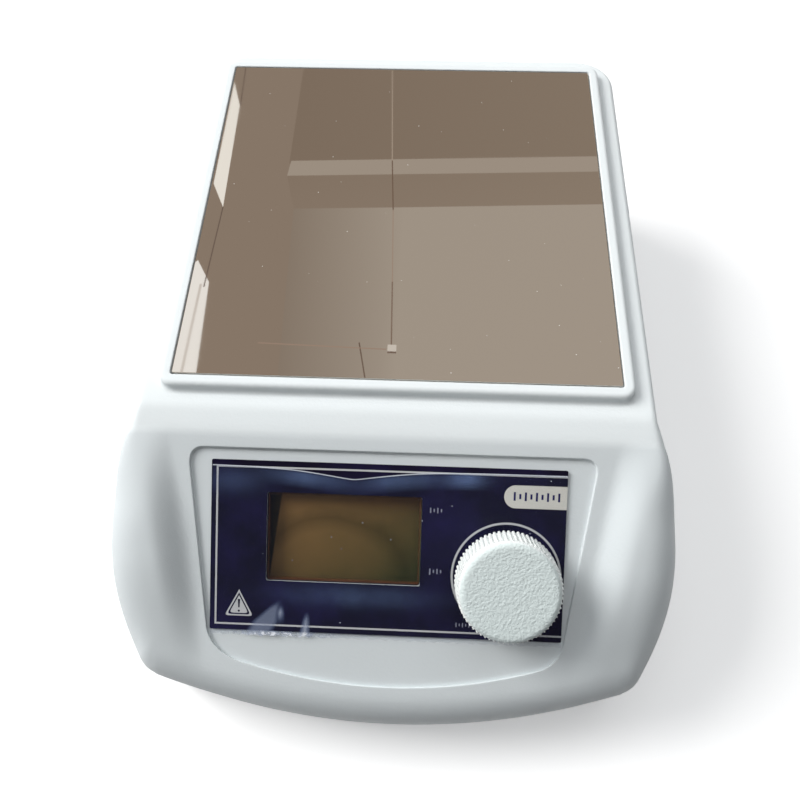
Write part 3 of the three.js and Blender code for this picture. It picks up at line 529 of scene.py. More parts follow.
# %% Height of the casing
lip_r, wing_edge_r, deck_edge_r, wing_height = 12.0, 11.0, 2.0, 5.4
band_fall = 2.05 / (crease_y - band_end_y)
slope_fall = math.tan(slope)
pocket_depth = 1.0 / math.cos(slope)
lip_run = lip_r * (1 - math.sin(slope))
lip_drop = lip_r * math.cos(slope) - lip_run * slope_fall


def face_height(y):
    """Deck, band and slope, with a small bend at the crease and a wide one below the band."""
    return (deck_z - band_fall * ramp(crease_y - y, 1.0)
            - (slope_fall - band_fall) * ramp(band_end_y - y, 1.9))


def wing(x, y):
    """The swelling beside the console, steepest close to the valley where it starts."""
    down = np.clip((band_end_y - y) / 61, 0, 1)
    valley = 59.6 - 11.4 * down
    rise = np.sin(np.pi / 2 * np.minimum(1, down / 0.45))
    across = np.clip((np.abs(x) - valley) / 8.5, 0, 1) ** 0.7
    return wing_height * rise * ease((1 - down) / 0.5) * ease(across)


def edge_radius(y):
    along = np.clip((crease_y - y) / (crease_y - band_end_y), 0, 1)
    down = ease((band_end_y - y) / 20)
    return deck_edge_r + 1.5 * along + (wing_edge_r - deck_edge_r - 1.5) * down


def edge_drop(y, gap, front):
    """How far the surface has dropped at a gap from the wall."""
    r = edge_radius(y)
    side = r - np.sqrt(np.maximum(0, r ** 2 - np.maximum(0, r - gap) ** 2))
    inward = np.clip(gap, 0, lip_run)
    lip = inward * slope_fall + lip_drop - np.sqrt(lip_r ** 2 - (lip_r - inward) ** 2)
    return side * (1 - front) + lip * front


def front_at(points):
    """How much of the lip's rolling each place takes, blended over the outline close to it."""
    shares = []
    for some in np.array_split(points, len(points) // 4000 + 1):
        away = np.hypot(some[:, :1] - plan[:, 0], some[:, 1:2] - plan[:, 1])
        pull = np.exp((away.min(1)[:, None] - away) / 1.3)
        shares.append(pull @ frontness / pull.sum(1))
    return np.concatenate(shares)


def outer_height(points, gap, front):
    x, y = points.T
    return face_height(y) + wing(x, y) - edge_drop(y, gap, front)


# %% [markdown]
# Blender's constrained Delaunay call does the triangulation. It is given the rings as edges
# that it must keep, and returns triangles over the whole hull, so the ones outside the plan
# or inside a hole are thrown away by testing their middles.


# %% Triangulate a plan
class Sheet:
    """A plan with heights: loops of points, free points between them, and holes."""

    def __init__(self, outline):
        self.outline, self.holes = outline, []
        self.points, self.depths, self.edges, self.count = [], [], [], 0

    def loop(self, points, depth):
        """Adds a ring of points, each with its own depth, joined by edges that are kept."""
        total = len(points)
        self.points.append(points)
        self.depths.append(np.broadcast_to(depth, (total,)))
        ends = np.arange(self.count, self.count + total)
        self.edges.extend(np.c_[ends, np.roll(ends, -1)].tolist())
        self.count += total

    def free(self, points, depth_of, clear):
        """Adds loose points that stay this clear of every ring."""
        ringed = np.vstack(self.points)
        tree = kdtree.KDTree(len(ringed))
        for i, (x, y) in enumerate(ringed):
            tree.insert((x, y, 0), i)
        tree.balance()
        far = np.array([tree.find((x, y, 0))[2] > clear for x, y in points])
        kept = points[far & within(points, self.outline)]
        self.points.append(kept)
        self.depths.append(depth_of(kept))
        self.count += len(kept)

    def triangles(self):
        """The points with their depths, and the triangles between them."""
        flat, depth = np.vstack(self.points), np.concatenate(self.depths)
        made = geometry.delaunay_2d_cdt([Vector(p) for p in flat.tolist()], self.edges, [], 0, 1e-5)
        places = np.array([tuple(v) for v in made[0]])
        source = np.array([own[0] if own else -1 for own in made[3]])
        faces = np.array([f for f in made[2] if len(f) == 3])
        middles = places[faces].mean(1)
        kept = within(middles, self.outline)
        for hole in self.holes:
            kept &= ~within(middles, hole)
        depths = np.where(source >= 0, depth[source], 0)
        for i in np.flatnonzero(source < 0):
            depths[i] = depth[np.argmin(((flat - places[i]) ** 2).sum(1))]
        return np.c_[places, depths], faces[kept]


class Shell:
    """Patches of vertices and faces that are welded into one mesh at the end."""

    def __init__(self):
        self.points, self.faces, self.count = [], [], 0

    def patch(self, points, faces):
        self.faces.extend([[int(i) + self.count for i in face] for face in faces])
        self.points.append(np.asarray(points, float))
        self.count += len(points)

    def bridge(self, *loops, closed=True):
        """Joins loops of equal length by rows of quads."""
        total = len(loops[0])
        span = range(total if closed else total - 1)
        faces = [[row * total + i, row * total + (i + 1) % total,
                  (row + 1) * total + (i + 1) % total, (row + 1) * total + i]
                 for row in range(len(loops) - 1) for i in span]
        self.patch(np.vstack(loops), faces)

    def mesh(self, name, weld_mm=2e-4):
        work = bmesh.new()
        made = [work.verts.new(p * MM) for p in np.vstack(self.points)]
        for face in self.faces:
            if len(set(face)) > 2:
                try:
                    work.faces.new([made[i] for i in face])
                except ValueError:
                    pass
        bmesh.ops.remove_doubles(work, verts=work.verts, dist=weld_mm * MM)
        bmesh.ops.dissolve_degenerate(work, edges=work.edges, dist=1e-8)
        bmesh.ops.recalc_face_normals(work, faces=work.faces)
        mesh = bpy.data.meshes.new(name)
        open_edges = sum(not e.is_manifold for e in work.edges)
        work.to_mesh(mesh)
        work.free()
        mesh.shade_smooth()
        if open_edges:
            print(name, "has", open_edges, "open edges")
        return mesh


# %% [markdown]
# A piece is finished in one place: it gets its material and its body, and says which node of
# the frame it stands for.


# %% Finish a piece
body_of = {node: body for body, members in frame["record"]["behaviour"]["bodies"].items()
           for node in members}


def piece(mesh, material, *replaced, slot, sharp_deg, body=None):
    """Puts a mesh into the scene and ties it to the frame."""
    made = bpy.data.objects.new(mesh.name, mesh)
    bpy.context.scene.collection.objects.link(made)
    mesh.materials.clear()
    mesh.materials.append(material)
    mesh.set_sharp_from_angle(angle=math.radians(sharp_deg))
    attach(made, body or body_of[replaced[0]])
    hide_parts(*replaced)


# %% [markdown]
# ## Rings of the casing
# The side wall rolls into the top through ten rings. The rim is a rounded square plinth with
# a small inside fillet at its foot, and its inner wall drops to the recess of the plate. The
# console's pocket is a step one millimetre deep with rounded edges. The window, the knob's
# bushing and the opening over the magnets are holes.

# %% Rings of points
roll_angles = np.radians(np.linspace(0, 90, 10))
fillet_angles = np.radians(np.linspace(0, 90, 5))


def rounded_square(half, corner_centre, mid_y, count=44):
    """A square loop whose corners turn about fixed centres, so that its rings line up."""
    reach, r = corner_centre, half - corner_centre
    along = np.linspace(-reach, reach, count)[1:-1]
    sides = []
    for quarter in range(4):
        turn = np.radians(90 * quarter)
        corner = arc(reach, -reach, r, -90, 0, 9)
        side = np.c_[np.full(len(along), half), along]
        both = np.vstack((corner, side))
        spin = np.array([[np.cos(turn), np.sin(turn)], [-np.sin(turn), np.cos(turn)]])
        sides.append(both @ spin)
    return np.vstack(sides) + (0, mid_y)


def pocket_outline():
    """The pocket's outline on the console: a bowed foot, raked sides and rounded corners."""
    def bend(start, control, end, count):
        t = np.linspace(0, 1, count)[:, None]
        start, control, end = (np.asarray(place) for place in (start, control, end))
        return start * (1 - t) ** 2 + 2 * control * t * (1 - t) + end * t ** 2

    top = 3.1
    loop = chain(bend((-49.8, top), (0, top), (49.7, top), 66),
                 bend((49.7, top), (53.9, top), (53.6, -1.2), 12),
                 bend((53.6, -1.2), (50.3, -23), (46.9, -45.5), 30),
                 bend((46.9, -45.5), (46.2, -52.2), (40, -54.2), 14),
                 bend((40, -54.2), (1.1, -66), (-39.5, -54.8), 60),
                 bend((-39.5, -54.8), (-47.2, -52.4), (-48.7, -46), 14),
                 bend((-48.7, -46), (-51.4, -23), (-53.8, -2), 30),
                 bend((-53.8, -2), (-54.2, top), (-49.8, top), 12))[:-1]
    on_slope = np.array([from_panel(x, up, -0.5)[:2] for x, up in loop])
    return on_slope[::-1]


def window_loop(out):
    """The display window's outline at a height over the console, as points in space."""
    x0, x1, y0, y1 = (window[key] for key in ("x0", "x1", "y0", "y1"))
    r = 0.8
    corners = [arc(x1 - r, y0 + r, r, -90, 0, 5), arc(x1 - r, y1 - r, r, 0, 90, 5),
               arc(x0 + r, y1 - r, r, 90, 180, 5), arc(x0 + r, y0 + r, r, 180, 270, 5)]
    dense = []
    for near, far in zip(corners, corners[1:] + corners[:1]):
        steps = np.linspace(0, 1, 16)[1:-1, None]
        dense += [near, near[-1] + (far[0] - near[-1]) * steps]
    return np.array([from_panel(x, y, out) for x, y in np.vstack(dense)])


def round_hole(x, up, r, out, count=32):
    """A circle on the console, as points in space."""
    return np.array([from_panel(px, py, out) for px, py in arc(x, up, r, 0, 360, count + 1)[:-1]])


# %% Rim and pocket profiles
rim_top_r, rim_foot_r, rim_inner_r = 1.3, 1.2, 0.3
rim_profile = [(1.5, deck_z)]
rim_profile += [(rim_foot_r * (1 - math.sin(a)), deck_z + rim_foot_r * (1 - math.cos(a)))
                for a in fillet_angles]
rim_profile += [(-0.02 - rim_top_r * (1 - math.cos(a)), rim_z - rim_top_r * (1 - math.sin(a)))
                for a in fillet_angles]
rim_profile += [(-1.55, rim_z), (-2.6, rim_z)]
rim_profile += [(-3.2 + rim_inner_r * (1 - math.sin(a)), rim_z - rim_inner_r * (1 - math.cos(a)))
                for a in fillet_angles]
rim_profile += [(-3.21, recess_z + 0.05), (-3.25, recess_z), (-3.6, recess_z)]
pocket_lip_r, pocket_foot_r = 0.16, 0.2
pocket_profile = [(0.5, 0.0)]
pocket_profile += [(pocket_lip_r * (1 - math.sin(a)), pocket_lip_r * (1 - math.cos(a)))
                   for a in fillet_angles]
pocket_profile += [(-0.05 - pocket_foot_r * (1 - math.cos(a)),
                    pocket_depth - pocket_foot_r * (1 - math.sin(a))) for a in fillet_angles]
pocket_profile += [(-0.55, pocket_depth)]
print("rim", len(rim_profile), "rings; pocket", len(pocket_profile), "rings")


# %% The casing's top
bushing_r = 3.8
pocket = pocket_outline()
rim_line = rounded_square(rim_half, rim_half - 4, plate_mid.y)
recess_line = rounded_square(recess_half, rim_half - 4, plate_mid.y)


def free_height(points):
    """Height of loose points, wherever they lie."""
    z = outer_height(points, nearest(points, plan), front_at(points))
    z = np.where(within(points, pocket), z - pocket_depth, z)
    z = np.where(within(points, rim_line), rim_z, z)
    return np.where(within(points, recess_line), recess_z, z)


def plan_grid(x_step, y_values):
    across = np.arange(-78, 78, x_step)
    return np.array([(x + (row % 2) * x_step / 2, y) for row, y in enumerate(y_values) for x in across])


def casing_top():
    sheet = Sheet(plan)
    reach = np.minimum(edge_radius(plan[:, 1]), 7.0)
    for turn in roll_angles:
        gap = reach * (1 - math.cos(turn))
        ring = plan - plan_out * gap[:, None]
        sheet.loop(ring, outer_height(ring, gap, front_at(ring)))
    for offset, z in rim_profile:
        sheet.loop(rounded_square(rim_half + offset, rim_half - 4, plate_mid.y), z)
    for offset, depth in pocket_profile:
        ring = grown(pocket, offset)
        sheet.loop(ring, outer_height(ring, nearest(ring, plan), front_at(ring)) - depth)
    opening = arc(0, plate_mid.y, opening_r, 0, 360, 97)[:-1]
    lens_hole, knob_hole = window_loop(-1.0), round_hole(knob_x, knob_up, bushing_r, -1.0)
    sheet.loop(opening, recess_z)
    sheet.loop(lens_hole[:, :2], lens_hole[:, 2])
    sheet.loop(knob_hole[:, :2], knob_hole[:, 2])
    sheet.holes = [opening, lens_hole[:, :2], knob_hole[:, :2]]
    rows = np.concatenate((np.arange(front_y + 1, -46, 1.3), np.arange(-45.4, -31.0, 0.7)))
    grid = np.vstack((plan_grid(1.5, rows), plan_grid(7, np.arange(-30.4, 104, 7))))
    sheet.free(grid, free_height, 0.6)
    return sheet.triangles()


top_points, top_faces = casing_top()
print("the casing's top has", len(top_faces), "triangles")

# %% [markdown]
# The rest of the moulding is a wall round the plan, a lower edge, and an inner skin two and a
# half millimetres inside. The rear wall has a shallow recess for the power inlet and the
# switch, so it is a sheet of its own, laid out across and up instead of across and deep.

# %% Walls and inner skin
wall = 2.5
rear_recess = {"x": 42.0, "z0": 20.0, "z1": 44.0, "depth": 2.1}
jack_x, rocker_x, rear_z = 26.0, -20.0, 32.0
rear_straight = np.flatnonzero(np.abs(plan[:, 1] - back_y) < 1e-6)
foot_levels = [(0.0, 5.7), (0.12, 5.25), (0.5, skirt_z)]


def wall_levels(top):
    """Rows of the wall between its rolled top and its rounded foot."""
    return [top - 0.4] + [top + (5.7 - top) * t for t in (0.25, 0.5, 0.75)] + [5.7]


def rounded_box_loop(x0, x1, y0, y1, r, count=24):
    """A closed loop round a rectangle with rounded corners, with points along its sides."""
    corners = [arc(x1 - r, y0 + r, r, -90, 0, 6), arc(x1 - r, y1 - r, r, 0, 90, 6),
               arc(x0 + r, y1 - r, r, 90, 180, 6), arc(x0 + r, y0 + r, r, 180, 270, 6)]
    steps = np.linspace(0, 1, count)[1:-1, None]
    return np.vstack([p for near, far in zip(corners, corners[1:] + corners[:1])
                      for p in (near, near[-1] + (far[0] - near[-1]) * steps)])


def rear_holes():
    jack = arc(jack_x, rear_z, 4.4, 0, 360, 33)[:-1]
    rocker = rounded_box_loop(rocker_x - 9.7, rocker_x + 9.7, rear_z - 6.5, rear_z + 6.5, 0.5, 8)
    return jack, rocker


def rear_sheet(xs, levels, steps, outline_ends):
    """A rear wall across and up: its frame of points, its stepped recess and its two holes."""
    left, right = outline_ends
    sides = np.reshape([(right, z) for z in levels[1:-1]], (-1, 2))
    frame_loop = np.vstack((np.c_[xs, np.full(len(xs), levels[-1])], sides[::-1],
                            np.c_[xs[::-1], np.full(len(xs), levels[0])], sides * (left / right, 1)))
    sheet = Sheet(frame_loop)
    sheet.loop(frame_loop, 0.0)
    x, z0, z1 = (rear_recess[key] for key in ("x", "z0", "z1"))
    for offset, depth in steps:
        loop = rounded_box_loop(-x - offset, x + offset, z0 - offset, z1 + offset, 2.5 + offset)
        sheet.loop(loop, depth)
    sheet.holes = list(rear_holes())
    for hole in sheet.holes:
        sheet.loop(hole, steps[-1][1])
    return sheet.triangles()


def casing_shell():
    shell = Shell()
    shell.patch(top_points, top_faces)
    edge_z = outer_height(plan, np.zeros(len(plan)), front_at(plan))
    edge = np.c_[plan, edge_z]
    levels = np.array([wall_levels(z) for z in edge_z]).T
    rows = [edge] + [np.c_[plan, z] for z in levels]
    order = np.concatenate((np.arange(rear_straight[-1], len(plan)),
                            np.arange(0, rear_straight[0] + 1)))
    shell.bridge(*[row[order] for row in rows], closed=False)
    rear_x = plan[rear_straight][:, 0][::-1]
    rear_rows = [rows[i][rear_straight[0], 2] for i in range(len(rows))]
    r = 0.5
    turns = np.radians(np.linspace(0, 90, 4))
    depth = rear_recess["depth"]
    outer_steps = [(0.8, 0.0)] + [(r * (1 - math.sin(a)), r * (1 - math.cos(a))) for a in turns]
    outer_steps += [(-0.02 - r * (1 - math.cos(a)), depth - r * (1 - math.sin(a))) for a in turns]
    outer_steps += [(-0.9, depth)]
    flat, faces = rear_sheet(rear_x, rear_rows, outer_steps, (rear_x[0], rear_x[-1]))
    shell.patch(np.c_[flat[:, 0], back_y - flat[:, 2], flat[:, 1]], faces)

    feet = [np.c_[grown(plan, -gap), np.full(len(plan), z)] for gap, z in foot_levels]
    inner = grown(plan, -wall)
    inner[rear_straight, 1] = back_y - wall
    inner_z = outer_height(inner, np.full(len(inner), wall), front_at(inner)) - skin_drop(inner)
    inner_foot = np.c_[inner, np.full(len(inner), skirt_z)]
    inner_edge = np.c_[inner, inner_z]
    shell.bridge(*feet, inner_foot)
    shell.bridge(inner_foot[order], inner_edge[order], closed=False)
    inner_x = inner[rear_straight][:, 0][::-1]
    inner_levels = [inner_edge[rear_straight[0], 2], skirt_z]
    inner_steps = [(3.0, 0.0), (2.98, 2.2), (1.0, 2.2)]
    flat, faces = rear_sheet(inner_x, inner_levels, inner_steps, (inner_x[0], inner_x[-1]))
    inner_back = inner[rear_straight[0], 1]
    shell.patch(np.c_[flat[:, 0], inner_back - flat[:, 2], flat[:, 1]], faces)
    for hole in rear_holes():
        near = np.c_[hole[:, 0], np.full(len(hole), back_y - depth), hole[:, 1]]
        far = near - (0, back_y - depth - inner_back + 2.2, 0)
        shell.bridge(near, far)
    inner_skin(shell, inner, inner_z)
    return shell


def skin_drop(points):
    """How far the inner skin lies under the outer one, measured straight down."""
    return wall + 1.5 * ease((crease_y - points[:, 1]) / 10)


def inner_skin(shell, inner, inner_z):
    """The ceiling inside the casing, pierced by the window, the bushing and the opening."""
    sheet = Sheet(inner)
    sheet.loop(inner, inner_z)
    under = -4.0 * math.cos(slope)
    opening = arc(0, plate_mid.y, opening_r, 0, 360, 97)[:-1]
    lens_hole, knob_hole = window_loop(under), round_hole(knob_x, knob_up, bushing_r, under)
    sheet.loop(opening, deck_z - wall)
    sheet.loop(lens_hole[:, :2], lens_hole[:, 2])
    sheet.loop(knob_hole[:, :2], knob_hole[:, 2])
    sheet.holes = [opening, lens_hole[:, :2], knob_hole[:, :2]]

    def ceiling(points):
        return outer_height(points, nearest(points, plan), front_at(points)) - skin_drop(points)

    grid = np.vstack((plan_grid(4, np.arange(front_y + 5, -30, 3)),
                      plan_grid(9, np.arange(-27, 104, 9))))
    sheet.free(grid, ceiling, 1.6)
    shell.patch(*sheet.triangles())
    shell.bridge(np.c_[opening, np.full(96, recess_z)], np.c_[opening, np.full(96, deck_z - wall)])
    shell.bridge(window_loop(-1.0), lens_hole)
    shell.bridge(round_hole(knob_x, knob_up, bushing_r, -1.0), knob_hole)


# %% Bosses and posts inside
boss_ring = arc(0, 0, 1, 0, 360, 25)[:-1]
boss_r, pilot_r = 4.0, 1.5
skin_cover = 1.3


def boss(shell, place, r, bore_r, low, high, bore_top):
    """A hollow post: up its outside, across the top, and a blind bore from below."""
    total = len(boss_ring)
    rows = [np.array([place(x * size, y * size, z)
                      for (x, y), z in zip(boss_ring, np.broadcast_to(height, total))])
            for size, height in ((r, high), (r, low), (bore_r, low), (bore_r, bore_top))]
    shell.bridge(*rows)
    shell.patch(rows[0], [range(total)])
    shell.patch(rows[-1], [range(total)])


def screw_spots(prefix):
    boxes = [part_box(node) for node in nodes if node.startswith(prefix)]
    return [((low.x + high.x) / 2 / MM, (low.y + high.y) / 2 / MM) for low, high in boxes]


casing = casing_shell()
for cx, cy in screw_spots("case_screw_"):
    spots = boss_ring * boss_r + (cx, cy)
    under_skin = outer_height(spots, nearest(spots, plan), front_at(spots)) - skin_cover
    boss(casing, lambda x, y, z: (cx + x, cy + y, z), boss_r, pilot_r, 8.3, under_skin, 20)
for cx, cy in screw_spots("bracket_screw_"):
    boss(casing, lambda x, y, z: (cx + x, cy + y, z), boss_r, pilot_r, 49.9, deck_z - 1, 60)
for cx, cy in ((-39, -6), (41, -42), (41, -6), (-39, -42)):
    boss(casing, lambda x, y, z: from_panel(cx + x, cy + y, z), 2.6, 1.3, -10.7, -2.2, -4.4)
casing_mesh = casing.mesh("casing_shell")
print("the casing has", len(casing_mesh.polygons), "faces")

# %% [markdown]
# ## Moulded white plastic
# The casing came out of a spark-eroded mould, so its skin is covered with fine soft grain
# less than a millimetre across. Noise at two sizes gives the grain as bump, and the same noise
# makes the gloss uneven. The deck and band are painted paler than the slope, a painted
# highlight for the light that falls more on the flat top.

# %% White plastic
def white_plastic(name, tone, grain_mm, depth_mm):
    """White plastic with mould grain. Returns its finish and its colour."""
    finish = Finish(name, tone, 0.45, Specular_IOR_Level=0.42)
    coarse = finish.noise(grain_mm * 1.8, 2.0)
    fine = finish.noise(grain_mm, 3.0, 0.6)
    stain = finish.noise(38, 3.0, 0.55)
    color = finish.mix(stain, tuple(c * 0.965 for c in tone), tuple(min(1, c * 1.03) for c in tone))
    finish.set(Base_Color=color, Roughness=0.34 + fine * 0.22)
    finish.bump(coarse * 0.6 + fine * 0.6, depth_mm)
    return finish, color


def casing_finish():
    """White plastic, with the deck and band painted paler as a painted highlight, and the walls of the
    display opening painted black as painted shade.
    """
    finish, grained = white_plastic("casing_grain", (0.71, 0.755, 0.77), 0.55, 0.06)
    x, up, out = finish.panel_mm()
    deep = finish.axes(finish.place())[1]
    # painted highlight: the deck and band are painted paler than the slope and the console
    painted_deck_light = ((band_end_y - 0.6) * MM - deep).inside(1.0 * MM)
    color = finish.mix(painted_deck_light, grained, (0.84, 0.885, 0.895))
    mid_x, mid_up = (window["x0"] + window["x1"]) / 2, (window["y0"] + window["y1"]) / 2
    half_x, half_up = (window["x1"] - window["x0"]) / 2, (window["y1"] - window["y0"]) / 2
    aside = (abs(x - mid_x) - half_x).higher(abs(up - mid_up) - half_up)
    # painted shade: the walls of the display opening, below the surface, are painted near black
    opening = (aside - 0.25).inside(0.02) * (out + 1.12).inside(0.02)
    finish.set(Base_Color=finish.mix(opening, color, (0.012, 0.014, 0.010)))
    return finish.material


piece(casing_mesh, casing_finish(), "upper_housing", slot="casing_white", sharp_deg=50)

# %% [markdown]
# ## The work plate
# The plate is a square of polished steel with a fine broken edge. A flat mirror must stay
# flat right up to its bevel, so its edges are marked sharp instead of smoothed. What makes
# it read as real is dust and the faint smear of a cloth, not a perfect surface.


# %% Stacked solids
def stacked(name, rows, place=lambda point: point):
    """A closed solid from loops of equal length, its first and last loops capped."""
    shell = Shell()
    rows = [np.array([place(p) for p in row]) for row in rows]
    shell.bridge(*rows)
    total = len(rows[0])
    shell.patch(rows[0], [range(total)])
    shell.patch(rows[-1], [range(total)])
    return shell.mesh(name)


def raised(loop, z):
    return np.c_[loop, np.full(len(loop), z)]


def slab(name, x0, x1, y0, y1, z0, z1, r, bevel, place=lambda point: point, count=3):
    """A plate with rounded corners and broken edges."""
    rows = []
    for z, turns in ((z0, (90, 45, 0)), (z1, (0, 45, 90))):
        side = 1 if z == z1 else -1
        for turn in np.radians(turns):
            inset = bevel * (1 - math.cos(turn))
            height = z - side * bevel * (1 - math.sin(turn))
            loop = rounded_box_loop(x0 + inset, x1 - inset, y0 + inset, y1 - inset,
                                    max(r - inset, 0.02), count)
            rows.append(raised(loop, height))
    return stacked(name, rows, place)


# %% Polished plate
def mirror_finish():
    finish = Finish("polished_plate", tuple(mirror_tone), 0.02, 1.0)
    smear = finish.noise(60, 4.0, 0.6)
    dust = finish.specks(3.4, 0.045, 0.015, 0.42)
    haze = ((smear - 0.45) * 0.5).higher(0)
    finish.set(Base_Color=finish.mix(dust * 0.55, tuple(mirror_tone), (0.92, 0.90, 0.86)),
               Metallic=1 - dust * 0.6, Roughness=0.012 + haze * 0.16 + dust * 0.4)
    return finish.material


x0, y0, z0 = plate_low
x1, y1, z1 = plate_high
plate_mesh = slab("polished_plate", x0, x1, y0, y1, z0, z1, 0.5, 0.15)
piece(plate_mesh, mirror_finish(), "work_plate", slot="mirror_plate", sharp_deg=15)
print("plate", round(x1 - x0), "x", round(y1 - y0), "x", round(z1 - z0, 1), "mm")

# %% [markdown]
# ## The printed label
# A thin navy label lies in the pocket, with an opening for the display and a hole for the
# knob's bushing. Its print is sharp at any distance only when it is drawn by distance
# fields: each mark is a short sum that is negative inside the mark, worked out in panel
# millimetres, so no picture is needed. Words are left out, and plain marks stand for them.


# %% Punched sheets
def punched(name, outline, holes, low, high, place=from_panel, bow=None):
    """A thin sheet with holes, between two heights over the console."""
    sheet = Sheet(outline)
    sheet.loop(outline, 0.0)
    for hole in holes:
        sheet.loop(hole, 0.0)
    sheet.holes = holes
    if bow is not None:
        sheet.free(bow[0], lambda points: np.zeros(len(points)), 0.5)
    flat, faces = sheet.triangles()
    lift = bow[1] if bow is not None else (lambda x, y: 0.0 * x)
    shell = Shell()

    def at(points, out):
        return np.array([place(x, y, out + float(lift(x, y))) for x, y in points])

    shell.patch(at(flat[:, :2], high), faces)
    shell.patch(at(flat[:, :2], low), faces)
    for loop in [outline] + holes:
        shell.bridge(at(loop, low), at(loop, high))
    return shell.mesh(name)


label_top = -0.3
lens_cut = rounded_box_loop(window["x0"], window["x1"], window["y0"], window["y1"], 0.5, 12)
bushing_cut = arc(knob_x, knob_up, 9.0, 0, 360, 49)[:-1]
label_edge = rounded_box_loop(label["x0"], label["x1"], label["y0"], label["y1"], 0.4, 20)
label_mesh = punched("printed_label", label_edge, [lens_cut, bushing_cut], label_top - 0.4, label_top)


# %% The print
def length(x, y):
    return (x * x + y * y).root()


def label_finish():
    finish = Finish("label_print", srgb(24, 20, 44), 0.22, Specular_IOR_Level=0.12)
    x, up, _ = finish.panel_mm()
    line = 0.24
    left_line = (abs(x + 46.35) - line).higher(abs(up + 23.0) - 21.3)
    top_line = (abs(up + 1.75) - line).higher(-46.6 - x)
    foot_line = (abs(up + 44.3) - line).higher(-46.6 - x)
    knob_ring = abs(length(x - 30.9, up + 28.8) - 14.3) - line * 1.15
    badge = length((x - 32.7).lower(0), up + 7.3) - 3.05
    sides = 0.881 * abs(x + 40.05) + 0.473 * (up + 34.7)
    triangle = sides.maths("SMOOTH_MAX", sides, -42.2 - up, 1.4)
    rim_of_sign = abs(triangle + 0.30) - 0.19
    heart_of_sign = triangle + 0.86
    bar = (abs(x + 40.05) - 0.16 - (up + 40.3) * 0.06).higher(abs(up + 38.7) - 1.15)
    dot = length(x + 40.05, up + 40.75) - 0.3
    sign = rim_of_sign.lower(heart_of_sign.higher(-bar.lower(dot)))
    marks = sign.lower(left_line).lower(top_line).lower(foot_line).lower(knob_ring)
    soft = 0.06

    def strokes(mark_x, mark_up, count, pitch, size):
        """A short row of plain upright strokes, alternately tall and low."""
        found = None
        for i in range(count):
            tall = size * (1.0 if i % 2 == 0 else 0.6)
            centre = mark_x + (i - (count - 1) / 2) * pitch
            stroke = (abs(x - centre) - size * 0.24).higher(abs(up - mark_up) - tall)
            found = stroke if found is None else found.lower(stroke)
        return found

    small = strokes(11.9, -11.7, 4, 0.95, 0.7).lower(strokes(12.2, -28.0, 4, 0.95, 0.7))
    small = small.lower(strokes(19.9, -42.2, 5, 0.85, 0.6))
    badge_row = strokes(38.2, -7.2, 9, 1.45, 1.15)
    haze = finish.noise(16, 3.0, 0.6)
    scuff = finish.noise(0.6, 2.0)
    ground = finish.mix(((haze - 0.42) * 3.2).higher(0).lower(1), srgb(19, 16, 36), srgb(29, 24, 60))
    printed = finish.mix(marks.inside(soft), ground, srgb(196, 197, 198))
    printed = finish.mix(small.inside(soft) * 0.75, printed, srgb(150, 152, 168))
    printed = finish.mix(badge.inside(soft), printed, srgb(206, 204, 196))
    printed = finish.mix(badge_row.inside(soft), printed, srgb(34, 32, 84))
    finish.set(Base_Color=printed, Roughness=0.16 + scuff * 0.14)
    finish.bump(finish.noise(0.35, 2.0) + marks.inside(0.1) * 0.6, 0.012)
    return finish.material


piece(label_mesh, label_finish(), "panel_label", slot="navy_label", sharp_deg=30)
print("label", label["x1"] - label["x0"], "x", label["y1"] - label["y0"], "mm")

# %% [markdown]
# ## The protective film
# The clear film that the maker puts over the label is still on it. It is loose along its
# upper edge, where it dips once, and it pokes out under the label, where it has wrinkled.
# Clear film shows only by its edges, its dust and the light it catches, so the material is
# mostly transparent, with more body wherever one of these lies. The pale line of its cut edge,
# the glare below that edge and the glints on its folds are painted highlights and painted
# reflections, placed by position rather than lit from the waves of the mesh. The mesh and the
# material share the numbers of the dip, because the pale line has to follow the cut edge.

# %% Film shape
film_low, film_high = label_top + 0.18, label_top + 0.24
film_edge = -1.3
dip_depth, dip_x, dip_width, dip_power = 2.7, -10, 13.5, 1.4


def film_dip(x):
    """How far the loose upper edge hangs under the label's printed line."""
    return dip_depth * np.exp(-np.abs((x - dip_x) / dip_width) ** dip_power)


def film_bow(x, y):
    """How far the film stands off the label: waves near its upper edge, wrinkles at its foot."""
    near_top = np.exp(-((y + 4.5) / 3.0) ** 2)
    near_foot = np.exp(-((y + 46.5) / 2.6) ** 2)
    waves = 0.10 * np.sin(x / 3.1) + 0.08 * np.sin(x / 1.7 + 1.0)
    folds = 0.10 * (np.sin((x + 30) * 1.3) + 1) * np.exp(-((x + 29) / 8.0) ** 2)
    return near_top * (0.14 + waves) + near_foot * (0.03 + folds)


def film_outline():
    x0, x1 = label["x0"] + 0.3, label["x1"] - 0.05
    top = np.linspace(x1, x0, 110)
    foot = np.linspace(x0, x1, 110)
    ragged = 0.18 * np.sin(foot * 1.9) + 0.12 * np.sin(foot * 4.3)
    return np.vstack((np.c_[foot, label["y0"] - 1.15 + ragged],
                      [(x1, y) for y in np.linspace(-46, -2.4, 40)[1:-1]],
                      np.c_[top, film_edge - film_dip(top)],
                      [(x0, y) for y in np.linspace(-2.4, -46, 40)[1:-1]]))


film_grid = np.array([(x, y) for x in np.arange(-47, 46, 1.1) for y in np.arange(-46.8, -1, 1.1)])
film_mesh = punched("clear_film", film_outline(), [bushing_cut], film_low, film_high,
                    bow=(film_grid, film_bow))


